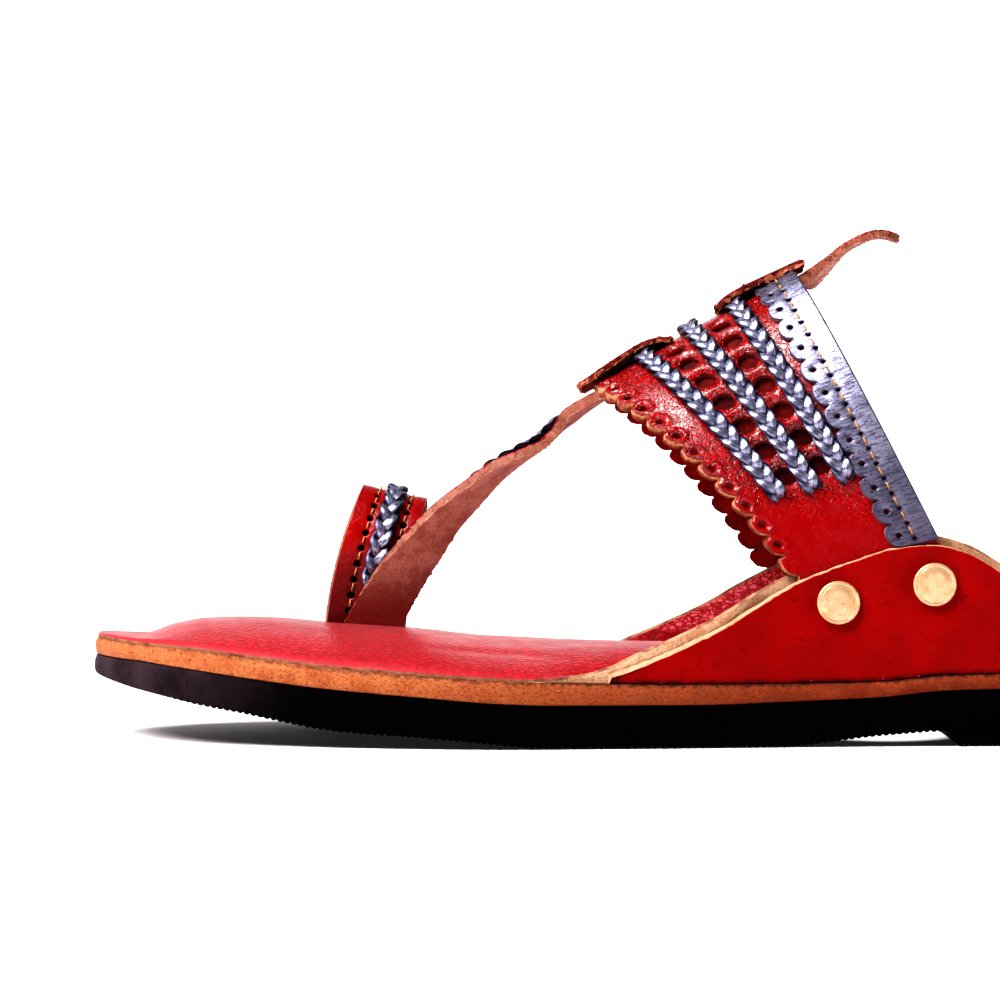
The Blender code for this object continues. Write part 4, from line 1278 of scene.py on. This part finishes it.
def bed_side(side, x, middle, base):
    """One side of the bed at x: its grain face from the middle line out, then its edge and its underside."""
    grain, corner, upright = half_section(side, x)
    fade = 1 - np.linspace(0, 1, len(grain)) ** 6
    width = min(1.0, grain[-1][0] / 12.0)
    tip = EDGE_ROLL * max(1 - (x + LENGTH / 2) / EDGE_ROLL_RUN, 0.0) ** 2
    top = []
    for (reach, z), share in zip(grain, fade):
        y = middle + side * reach
        top.append((x, y, max(z - tip + share * width * bed_relief(x, y), base + BED_THIN)))
    end = np.array((grain[-1][0], top[-1][2]))
    across = end - corner
    lip = (end + corner) / 2 + FLAP_LIP * upright * np.array((across[1], -across[0]))
    rows = [lip, *((corner[0], z) for z in np.linspace(corner[1], base, FLESH_STEPS))]
    rows += [(corner[0] * t, base) for t in UNDER_SHARES]
    return top, [(x, middle + side * reach, z) for reach, z in rows]


def insole():
    """Padded bed with a layer turned up on each side, slit for the toe ring and the T-strap."""
    rings = []
    for x in stations(BED_END, BED_STATIONS):
        base = LEVEL["midsole_top"](x) + BED_GAP
        middle = (edge(1, x) - edge(-1, x)) / 2
        lateral_top, lateral_rest = bed_side(-1, x, middle, base)
        medial_top, medial_rest = bed_side(1, x, middle, base)
        top = [*reversed(lateral_top), *medial_top[1:]]
        rings.append([*top, *medial_rest, (x, middle, base), *reversed(lateral_rest)])
    flesh_faces = 2 * (FLESH_STEPS + len(UNDER_SHARES))
    indices = [0] * (len(top) - 1) + [1] * 2 + [2] * flesh_faces + [1] * 2
    shares = [*reversed(BED_SHARES), *BED_SHARES[1:], *np.ones(len(indices) - len(top))]
    bed = loft("insole_padded", rings, [INSOLE_RED, EDGE_GREY, PALE_FLESH], indices, 50.0, shares)
    ring_wide = RING_WIDTH * (1 + RING_FLARE)
    slits = (
        (ring_wide, RING_NEAR, RING_NEAR + RING_WALL),
        (ring_wide, RING_FAR - RING_WALL, RING_FAR),
        (STRAP_WIDTH, RING_NEAR - STRAP_BESIDE + SLIT_ROOM, RING_NEAR),
    )
    for length, near, far in slits:
        slit = bmesh.new()
        size = Vector((length + SLIT_ROOM, far - near + SLIT_ROOM, SLIT_HEIGHT))
        place = Vector((SLIT_X, (near + far) / 2, SLIT_FLOOR + SLIT_HEIGHT / 2))
        bmesh.ops.create_cube(slit, size=1.0, matrix=Matrix.LocRotScale(place * MM, None, size * MM))
        cut(bed, slit)
    dress(bed, "red_leather", "insole")


def cut(target, tool):
    """Takes a shape out of a piece."""
    mesh = bpy.data.meshes.new("tool")
    tool.to_mesh(mesh)
    tool.free()
    cutter = bpy.data.objects.new("tool", mesh)
    bpy.context.scene.collection.objects.link(cutter)
    step = target.modifiers.new("cut", "BOOLEAN")
    step.operation = "DIFFERENCE"
    step.solver = "MANIFOLD"
    step.object = cutter
    graph = bpy.context.evaluated_depsgraph_get()
    result = bpy.data.meshes.new_from_object(target.evaluated_get(graph))
    target.modifiers.clear()
    target.data = result
    bpy.data.objects.remove(cutter)


# Ears and rivets

EAR_STEP = 0.9
EAR_HEIGHTS = (10.0, 48.0)
EAR_SKIVED = (-5.0, 20.0, 35.0)  # places along the shoe, and how far the top edge is pared there
EAR_SKIVE = (0.8, 0.5, 0.25)


def ear(side, word):
    """Outer layer of one ear; its pattern runs to the heel on the medial side, to the toe on the lateral."""
    def surface(u, z):
        x = side * u
        return Vector((x, side * (edge(side, x) - EAR_INSET), z))

    def relief(u, z):
        height = ripple(u, z, 0.12, 0.12)
        for _, cx, cz in RIVETS:
            height -= 0.45 * bell(np.hypot(side * u - cx, z - cz) - CAP_RADIUS, 2.2)
        return height

    def skive(u, z):
        x = side * u
        foot = np.array([LEVEL["midsole_top"](place) for place in x])
        return np.interp(x, EAR_SKIVED, EAR_SKIVE) * (z > foot + 0.8)

    skin = Skin(surface, sorted((side * (EAR_FRONT - 2), side * (EAR_REAR + 2))), EAR_HEIGHTS, 0.8)
    places = spread(EAR_FRONT, EAR_REAR, EAR_STEP)
    low = [(side * x, LEVEL["midsole_top"](x) + LAYER_GAP) for x in places]
    high = [(side * x, EAR["outer"](x)) for x in reversed(places)]
    holes = [circle(side * x, z, SHANK_RADIUS + 0.2) for _, x, z in RIVETS]
    sheet = leather(
        f"ear_{word}_leather", [low + high, *holes], skin, -EAR_WALL, 0.0, 1.0,
        [RED_EAR, FLESH, EDGE_PALE, RED_HOLE], relief=relief, skive=skive, ragged=0.2,
    )
    dress(sheet, "red_leather", f"ear_{word}")


CAP_FACE = ((0.0, 0.0), (0.5, 0.02), (0.8, 0.03), (0.835, 0.15), (0.87, 0.05))  # share of the radius, fall
CAP_RIM = 0.5
RIVET_REACH = 2.0  # how far to each side the ear's slope is taken for a rivet


def rivet_profile():
    """Half outline of a rivet from the middle of its cap to the middle of its burr: radius, height."""
    inside = EAR_WALL + BAND_WALL + FLAP_WALL + 3 * GAP
    profile = [(CAP_RADIUS * share, CAP_HEIGHT - fall) for share, fall in CAP_FACE]
    for turn in np.linspace(0, math.pi / 2, 9):
        radius = CAP_RADIUS - CAP_RIM + CAP_RIM * math.sin(turn)
        profile.append((radius, CAP_HEIGHT - CAP_RIM - 0.04 + CAP_RIM * math.cos(turn)))
    return [
        *profile,
        (CAP_RADIUS - 0.1, -0.1),
        (SHANK_RADIUS, -0.1),
        (SHANK_RADIUS, -inside),
        (BURR_RADIUS, -inside),
        (BURR_RADIUS * 0.97, -inside - BURR_HEIGHT * 0.6),
        (BURR_RADIUS * 0.85, -inside - BURR_HEIGHT),
        (0.0, -inside - BURR_HEIGHT),
    ]


def rivets():
    points, faces = lathe(rivet_profile(), RIVET_SIDES)
    for side, word in SIDES:
        for place, x, z in RIVETS:
            slope = (edge(side, x + RIVET_REACH) - edge(side, x - RIVET_REACH)) / (2 * RIVET_REACH)
            out = Vector((-slope, side, 0)).normalized()
            turn = out.to_track_quat("Z", "Y").to_matrix().to_4x4()
            frame_at = Matrix.Translation(Vector((x, side * (edge(side, x) - EAR_INSET), z))) @ turn
            placed = [tuple(frame_at @ Vector(p)) for p in points]
            name = f"rivet_{word}_{place}"
            dress(add_piece(f"{name}_cap", placed, faces, [BRASS], sharp=50.0), "brass", name)


def lathe(profile, sides):
    """A turned shape from its half outline; the first and last points are on the axis."""
    points = [(0.0, 0.0, profile[0][1])]
    for radius, height in profile[1:-1]:
        for k in range(sides):
            turn = 2 * math.pi * k / sides
            points.append((radius * math.cos(turn), radius * math.sin(turn), height))
    points.append((0.0, 0.0, profile[-1][1]))
    rows = len(profile) - 2
    faces = [(0, 1 + k, 1 + (k + 1) % sides) for k in range(sides)]
    for i in range(rows - 1):
        for k in range(sides):
            a, b = 1 + i * sides, 1 + (i + 1) * sides
            n = (k + 1) % sides
            faces.append((a + k, b + k, b + n, a + n))
    last = 1 + (rows - 1) * sides
    faces += [(len(points) - 1, last + (k + 1) % sides, last + k) for k in range(sides)]
    return points, faces


# Instep band

def widths(surface_skin):
    """True width of the band over its pattern's width, as a function of u."""
    places = np.linspace(-TUCK * GIRTH, TUCK * GIRTH, 120)
    front = surface_skin(places, np.zeros(120))
    rear = surface_skin(places, np.full(120, WIDTH))
    ratio = np.linalg.norm(rear - front, axis=1) / WIDTH
    return lambda u: np.interp(u, places, ratio)


BAND = Skin(band, (-TUCK * GIRTH - 2, TUCK * GIRTH + 2), (-5.0, WIDTH + 5.0), 0.9)
BAND_RATIO = widths(BAND)


def scalloped(count, reach, edge_v):
    """A row of round lobes along u, with their tips at v = edge_v(u)."""
    points = []
    for i in range(count):
        for share in np.arange(SCALLOP_STEPS) / SCALLOP_STEPS:
            u = reach * (2 * (i + share) / count - 1)
            dip = 1 - math.sqrt(max(0.0, 1 - (2 * share - 1) ** 2))
            points.append((u, edge_v(u) + SCALLOP_DEPTH * dip / BAND_RATIO(u)))
    return [*points, (reach, edge_v(reach) + SCALLOP_DEPTH / BAND_RATIO(reach))]


def hole_at(u, v, radius, sides=22):
    """A round hole in the band, as a loop on its pattern."""
    loop = circle(0.0, 0.0, radius, sides)
    return np.column_stack([u + loop[:, 0], v + loop[:, 1] / BAND_RATIO(u)])


def eyelets(count, reach, edge_v):
    """Middles of the pinholes, one in each lobe."""
    places = [reach * (2 * (i + 0.5) / count - 1) for i in range(count)]
    return [(u, edge_v(u) + EYELET_FROM_TIP / BAND_RATIO(u)) for u in places]


def large_holes():
    found = []
    for row_top, row_low in HOLE_ROWS:
        for k in range(ROW_HOLES):
            for side in (-1, 1):
                u = side * GIRTH * (ROW_FIRST + ROW_STEP * k)
                found.append((u, row_v(row_top, row_low, u)))
    return found


def rear_edge(end):
    return [(u, WIDTH) for u in spread(end, -end, EDGE_STEP)]


def end_line(u, start, end):
    """Points between the corners at one end of a strip."""
    return [(u, v) for v in spread(start, end, EDGE_STEP)[1:-1]]


def instep_band():
    end = TUCK * GIRTH
    outline = [
        *((u, END_SLOPE) for u in spread(-end, -GIRTH - 1, EDGE_STEP)),
        *scalloped(SCALLOPS, GIRTH, lambda u: 0.0),
        *((u, END_SLOPE) for u in spread(GIRTH + 1, end, EDGE_STEP)),
        *end_line(end, END_SLOPE, WIDTH),
        *rear_edge(end),
        *end_line(-end, WIDTH, END_SLOPE),
    ]
    pins = eyelets(SCALLOPS, GIRTH, lambda u: 0.0)[1:-1]
    large = large_holes()
    loops = [outline]
    loops += [hole_at(u, v, EYELET_RADIUS, 14) for u, v in pins]
    loops += [hole_at(u, v, HOLE_RADIUS) for u, v in large]

    def relief(u, v):
        ratio = BAND_RATIO(u)
        height = ripple(u, v, 0.1, 0.14)
        for cu, cv in pins:
            reach = np.hypot(u - cu, (v - cv) * ratio)
            height += 0.45 * bell(reach - 1.7, 0.5) - 0.35 * bell(reach, 1.0)
        for cu, cv in large:
            reach = np.hypot(u - cu, (v - cv) * ratio)
            height -= 0.75 * bell(reach - HOLE_RADIUS, 0.8)
        for _, row_top, row_low, share in PLAIT_ROWS:
            across = (v - row_v(row_top, row_low, u)) * ratio
            height -= 0.25 * bell(across, 1.9) * (np.abs(u) < share * GIRTH)
        return height

    sheet = leather(
        "instep_band", loops, BAND, -BAND_WALL, 0.0, 0.65, [RED_BAND, RED_LINING, EDGE_BAND, RED_HOLE],
        stretch=BAND_RATIO, relief=relief, skive=0.6, ragged=0.2,
    )
    dress(sheet, "red_leather", "upper")


def band_lining():
    """Thin red lining behind the holes, on each side of the T-strap; its dark face is partly painted shade.
    """
    high = -BAND_WALL - LAYER_GAP
    for side, word in SIDES:
        near, far = sorted((side * LINING_START, side * LINING_END))
        front, rear = LINING_EDGE[side], WIDTH - LINING_BACK
        outline = dense([(near, front), (far, front), (far, rear), (near, rear)], EDGE_STEP)
        sheet = leather(
            f"band_lining_{word}", [outline], BAND, high - LINING_WALL, high, 1.6,
            [LINING_WITH_SHADE, RED_LINING, RED_LINING], stretch=BAND_RATIO,
        )
        dress(sheet, "red_leather", "upper")


def rear_strip():
    end = TRIM_END * GIRTH

    def tips(u):
        return WIDTH - TRIM_WIDTH / BAND_RATIO(u)

    front = scalloped(TRIM_SCALLOPS, end, tips)
    right = end_line(end, front[-1][1], WIDTH)
    left = end_line(-end, WIDTH, front[0][1])
    outline = [*front, *right, *rear_edge(end), *left]
    pins = eyelets(TRIM_SCALLOPS, end, tips)
    reach = end - TRIM_SEAM_END
    seam = [(u, WIDTH - TRIM_STITCH / BAND_RATIO(u)) for u in spread(-reach, reach, STITCH_PITCH)]
    loops = [outline]
    loops += [hole_at(u, v, TRIM_PINHOLE, 12) for u, v in pins]
    loops += [hole_at(u, v, STITCH_HOLE, 10) for u, v in seam]

    def relief(u, v):
        ratio = BAND_RATIO(u)
        height = ripple(u, v, 0.1, 0.3) - 0.22 * bell((WIDTH - v) * ratio - TRIM_STITCH, 0.8)
        for cu, cv in pins:
            height -= 0.22 * bell(np.hypot(u - cu, (v - cv) * ratio), 0.9)
        return height

    strip = leather(
        "rear_strip", loops, BAND, GAP * 0.4, GAP + TRIM_WALL, 0.8, [SILVER, SILVER, EDGE_SILVER, HOLE_WALL_SHADE],
        stretch=BAND_RATIO, relief=relief, skive=0.2,
    )
    dress(strip, "silver_leather", "rear_trim")
    between = [((a[0] + b[0]) / 2, (a[1] + b[1]) / 2) for a, b in zip(seam, seam[1:])]
    stitches("rear_strip_stitches", BAND, between, GAP + TRIM_WALL)


def stitches(name, skin, middles, height):
    """A seam along u: each stitch comes up through one hole and goes down through the next."""
    parts = []
    share = np.linspace(-1, 1, 11)
    lift = height + 0.15 - 0.95 * np.abs(share) ** 3.5
    for u, v in middles:
        us = u + share * STITCH_LENGTH / 2
        vs = np.full(len(share), v)
        path = skin(us, vs, lift)
        side, up = across_path(path, skin(us, vs, lift + 1.0) - path)
        parts.append(tube(path, side, up, THREAD_RADIUS, THREAD_RADIUS, THREAD_SIDES))
    points, faces = joined(parts)
    dress(add_piece(name, points, faces, [THREAD], sharp=60.0), "brass")


def plait(name, node, skin, start, end, centre=np.zeros_like, stretch=np.ones_like, middle=PLAIT_MIDDLE):
    """Three flat strands plaited over the leather along centre(u), their ends going down into it."""
    parts, places = [], []
    s = spread(start, end, STRAND_STEP)
    dive = np.zeros(len(s))
    for distance in (s - start, end - s):
        dive += np.clip(1 - distance / PLAIT_DIVE_RUN, 0, 1) ** 2
    around = np.cos(np.linspace(0, 2 * math.pi, STRAND_SIDES, endpoint=False)) * STRAND_WIDTH / 2
    for k in range(STRANDS):
        turn = 2 * math.pi * (s / PLAIT_PERIOD + k / STRANDS)
        across = PLAIT_SWING * np.sin(turn) * (1 - PLAIT_GATHER * dive)
        height = middle + PLAIT_WEAVE * np.sin(2 * turn) - dive * (middle + PLAIT_END)
        v = centre(s) + across / stretch(s)
        path = skin(s, v, height)
        side, up = across_path(path, skin(s, v, height + 1.0) - path)
        tilt = STRAND_TILT * np.sin(turn)[:, None]
        side, up = side * np.cos(tilt) - up * np.sin(tilt), up * np.cos(tilt) + side * np.sin(tilt)
        parts.append(tube(path, side, up, STRAND_WIDTH / 2, STRAND_WALL / 2, STRAND_SIDES))
        along, beside = np.meshgrid(s + STRAND_APART * k, around, indexing="ij")
        weave = np.repeat(np.sin(2 * turn), STRAND_SIDES)
        places.append(np.column_stack([along.ravel(), beside.ravel(), weave]))
    points, faces = joined(parts)
    piece = add_piece(name, points, faces, [STRAND], attributes={"place": np.vstack(places)}, sharp=60.0)
    dress(piece, "silver_leather", node)


def band_plaits():
    for name, row_top, row_low, share in PLAIT_ROWS:
        reach = share * GIRTH
        centre = partial(row_v, row_top, row_low)
        plait(f"{name}_strands", name, BAND, -reach, reach, centre, BAND_RATIO)


def keeper(name, rows):
    """A strip that lies over the band and bows over a plait, its ends free."""
    half = KEEPER_WIDTH / 2
    flat = np.array([(share * WIDTH, lift) for share, lift in through(rows, 8)])
    run = lengths(flat)

    def middle(u, s):
        v, lift = (float(np.interp(s, run, flat[:, k])) for k in range(2))
        lean = 1 - KEEPER_TILT * blend(-half, half, u)
        return Vector(BAND([u], [v], lift * lean if lift > 0 else lift)[0])

    skin = Skin(middle, (-half - 1, half + 1), (0.0, run[-1]), 0.5)
    near, far = 0.1, run[-1] - 0.1
    outline = dense([(-half, near), (half, near), (half, far), (-half, far)], 0.5)
    sheet = leather(
        name, [outline], skin, -KEEPER_WALL / 2, KEEPER_WALL / 2, 0.8,
        [KEEPER_TOP, FLESH, EDGE_BROWN], ragged=1.1,
    )
    dress(sheet, "red_leather", "upper")


# T-strap and toe ring

STRAP_PATH = strap_path()
RING_ARCH = ring_arch()


def tstrap():
    end = STRAP_PATH[2][-1]
    half = STRAP_WIDTH / 2
    skin = Skin(strap, (-4.0, end + 1.0), (-half - 1, half + 1), 0.7)
    taper = end - TAIL_TAPER
    corners = [
        (-half * ROOT_LEAN, half),
        (half * ROOT_LEAN, -half),
        (taper, -half),
        (end, -half / 2),
        (end, half / 2),
        (taper, half),
    ]

    def relief(u, v):
        pared = np.clip((u - (end - TAIL_PARED)) / 8.0, 0.0, 1.0)
        return ripple(u, v, 0.1, 0.25) - 0.6 * pared

    sheet = leather(
        "t_strap", [dense(corners, 0.5)], skin, -STRAP_WALL / 2, STRAP_WALL / 2, 0.9,
        [RED_STRAP, STRAP_FLESH, EDGE_STRAP], relief=relief, skive=0.3, ragged=0.45,
    )
    dress(sheet, "red_leather", "upper")
    fibres(skin)
    raised = Skin(lambda u, v: Vector(skin([u], [v], STRAP_WALL / 2)[0]), (28.0, 74.0), (-4.0, 4.0), 0.7)
    plait("braid_tstrap_strands", "braid_tstrap", raised, *STRAP_PLAIT, middle=SUNK_MIDDLE)


def fibres(skin):
    """Stray fibres on the T-strap's raw edges, most of them on its tail."""
    end = STRAP_PATH[2][-1]
    half = STRAP_WIDTH / 2
    chance = np.random.default_rng(FIBRE_SEED)
    parts = []
    for start, stop, count in ((4.0, 70.0, 260), (end - 24.0, end - 1.0, 420)):
        u = chance.uniform(start, stop, count)
        side = chance.choice((-1.0, 1.0), count)
        height = chance.uniform(-STRAP_WALL / 2, STRAP_WALL / 4, count)
        v = side * (half - chance.uniform(0.2, 0.6, count))
        root = skin(u, v, height)
        lean = chance.uniform(-0.6, 0.6, count)
        drop = chance.uniform(-0.9, 0.2, count)
        length = chance.uniform(0.5, FIBRE_LENGTH, count)
        tip = skin(u + lean * length, v + side * length * 0.7, height + drop * length)
        for a, b in zip(root, tip):
            along = Vector(b - a).normalized()
            beside = along.orthogonal().normalized() * FIBRE_RADIUS
            corners = [Vector(a) + Matrix.Rotation(turn, 3, along) @ beside for turn in (0.0, 2.1, 4.2)]
            parts.append((np.array([*corners, b]), [(0, 1, 2), (0, 1, 3), (1, 2, 3), (2, 0, 3)]))
    points, faces = joined(parts)
    dress(add_piece("t_strap_fibres", points, faces, [FLESH]), "red_leather")


def toe_ring():
    reach = RING_ARCH[2][-1] - RING_ROOT
    half = RING_WIDTH / 2
    tilt = half * math.sin(RING_LEAN)
    skin = Skin(ring, (-reach - RING_ROOT, reach + RING_ROOT), (-half - 1, half + 1), 0.5)
    corners = [(-reach - tilt, -half), (reach + tilt, -half), (reach - tilt, half), (-reach + tilt, half)]
    holes = spread(-reach + RING_SEAM_END, reach - RING_SEAM_END, STITCH_PITCH)
    loops = [dense(corners, 0.5)]
    loops += [circle(u, v, RING_HOLE, 14) for v in RING_STITCHES for u in holes]

    def relief(u, v):
        height = ripple(u, v, 0.12, 0.2)
        for row in RING_STITCHES:
            height -= 0.25 * bell(v - row, 0.8)
        return height

    sheet = leather(
        "toe_ring", loops, skin, -RING_WALL, 0.0, 0.8, [RED_STRAP, FLESH, EDGE_STRAP, HOLE_WALL_SHADE],
        relief=relief, skive=0.45, ragged=0.08,
    )
    dress(sheet, "red_leather", "upper")
    room, far = half - 1.0, reach - 4.0
    inside = dense([(-far, -room), (far, -room), (far, room), (-far, room)], EDGE_STEP)
    # lining inside the ring behind its stitch holes; its dark face is partly painted shade
    under = leather(
        "toe_ring_lining", [inside], skin, -RING_WALL - LINING_WALL, -RING_WALL - LAYER_GAP, 1.6,
        [LINING_WITH_SHADE, FLESH, FLESH],
    )
    dress(under, "red_leather", "upper")
    middles = [((a + b) / 2, v) for v in RING_STITCHES for a, b in zip(holes, holes[1:])]
    stitches("toe_ring_stitches", skin, middles, 0.0)
    start = -reach + RING_BASE - RING_FOOT + RING_PLAIT_START
    end = reach - RING_BASE + RING_FOOT - RING_PLAIT_END
    centre = partial(np.full_like, fill_value=RING_PLAIT_V)
    plait("braid_ring_strands", "braid_ring", skin, start, end, centre, middle=SUNK_MIDDLE)


# Pale floor, soft light and the camera

# Brightness of the studio round the shoe: a pale backdrop behind it, dark above and in front
STUDIO = {"Y": (-0.1, 0.6, 0.04, 0.95), "Z": (0.25, 0.6, 1.0, 0.2)}  # by direction: from, to, brightness

FLOOR_REACH = 6000.0
FLOOR_BELOW = 0.2

# The floor glows away from the shoe, and glows under the waist as painted light standing in for light coming
# through there: from, to, brightness
FLOOR_GLOW = (180.0, 700.0, 0.03, 0.9)
WAIST_GLOW = (1.0, 0.6, 0.0, 0.75)
WAIST = (46.0, 5.0)
WAIST_SIZE = (20.0, 28.0)

# Soft boxes: name, place, size, watts
LIGHTS = (
    ("key", (-470.0, -380.0, 740.0), 620.0, 15.0),
    ("fill", (850.0, -450.0, 300.0), 500.0, 1.5),
)
LIGHT_AIM = Vector((0, 0, 40.0))


def floor():
    f = Finish("floor_paper", Roughness=0.6, Specular_IOR_Level=0.2, Emission_Color=(1.0, 0.98, 0.98, 1.0))
    at = f.place()
    moved = f.vectors("SUBTRACT", at, (*WAIST, 0.0))
    waist = f.size(f.vectors("MULTIPLY", moved, (1 / WAIST_SIZE[0], 1 / WAIST_SIZE[1], 0.0)))
    glow = f.maths("MAXIMUM", f.ramp(f.size(at), *FLOOR_GLOW), f.ramp(waist, *WAIST_GLOW))
    paper = f.mix(f.noise(at, 0.4), (0.92, 0.86, 0.87), (0.95, 0.9, 0.91))
    sheet = bmesh.new()
    below = Matrix.Translation((0, 0, -FLOOR_BELOW * MM))
    bmesh.ops.create_grid(sheet, x_segments=1, y_segments=1, size=FLOOR_REACH * MM, matrix=below)
    mesh = bpy.data.meshes.new("floor")
    sheet.to_mesh(mesh)
    sheet.free()
    mesh.materials.append(f.finish(paper, Emission_Strength=glow))
    made = bpy.data.objects.new("floor", mesh)
    bpy.context.scene.collection.objects.link(made)


def studio():
    """Light from all round, and a white background for the camera."""
    world = bpy.data.worlds.new("studio")
    bpy.context.scene.world = world
    world.use_nodes = True
    sky = Nodes(world.node_tree)
    direction = sky.add("TexCoord", {}, output="Generated")
    parts = [sky.ramp(sky.axis(direction, axis), *row, curve="LINEAR") for axis, row in STUDIO.items()]
    seen = sky.add("LightPath", {}, output="Is Camera Ray")
    strength = sky.maths("MAXIMUM", sky.maths("MULTIPLY", *parts), seen)
    back = sky.tree.nodes["Background"]
    back.inputs["Color"].default_value = (1.0, 0.985, 0.985, 1.0)
    sky.tree.links.new(strength, back.inputs["Strength"])


def camera():
    lens = bpy.data.cameras.new("camera")
    lens.lens = CAMERA_LENS
    lens.sensor_width = CAMERA_FILM
    lens.clip_end = 50.0
    made = bpy.data.objects.new("camera", lens)
    made.location = Vector(CAMERA_PLACE) * MM
    made.rotation_euler = (math.radians(90 - CAMERA_TILT), 0, 0)
    scene = bpy.context.scene
    scene.collection.objects.link(made)
    scene.camera = made
    scene.view_settings.view_transform = "Standard"
    scene.view_settings.look = "Very High Contrast"


def add_light(name, place, size, watts):
    light = bpy.data.lights.new(name, "AREA")
    light.size = size * MM
    light.energy = watts
    lamp = bpy.data.objects.new(name, light)
    lamp.location = Vector(place) * MM
    aim = LIGHT_AIM - Vector(place)
    lamp.rotation_euler = aim.to_track_quat("-Z", "Y").to_euler()
    bpy.context.scene.collection.objects.link(lamp)


floor()
studio()
for light in LIGHTS:
    add_light(*light)
camera()
outsole()
heel_lift()
midsole()
insole()
for side, word in SIDES:
    ear(side, word)
rivets()
instep_band()
band_lining()
rear_strip()
band_plaits()
for number, rows in enumerate(KEEPERS, 1):
    keeper(f"keeper_{number}", rows)
tstrap()
toe_ring()
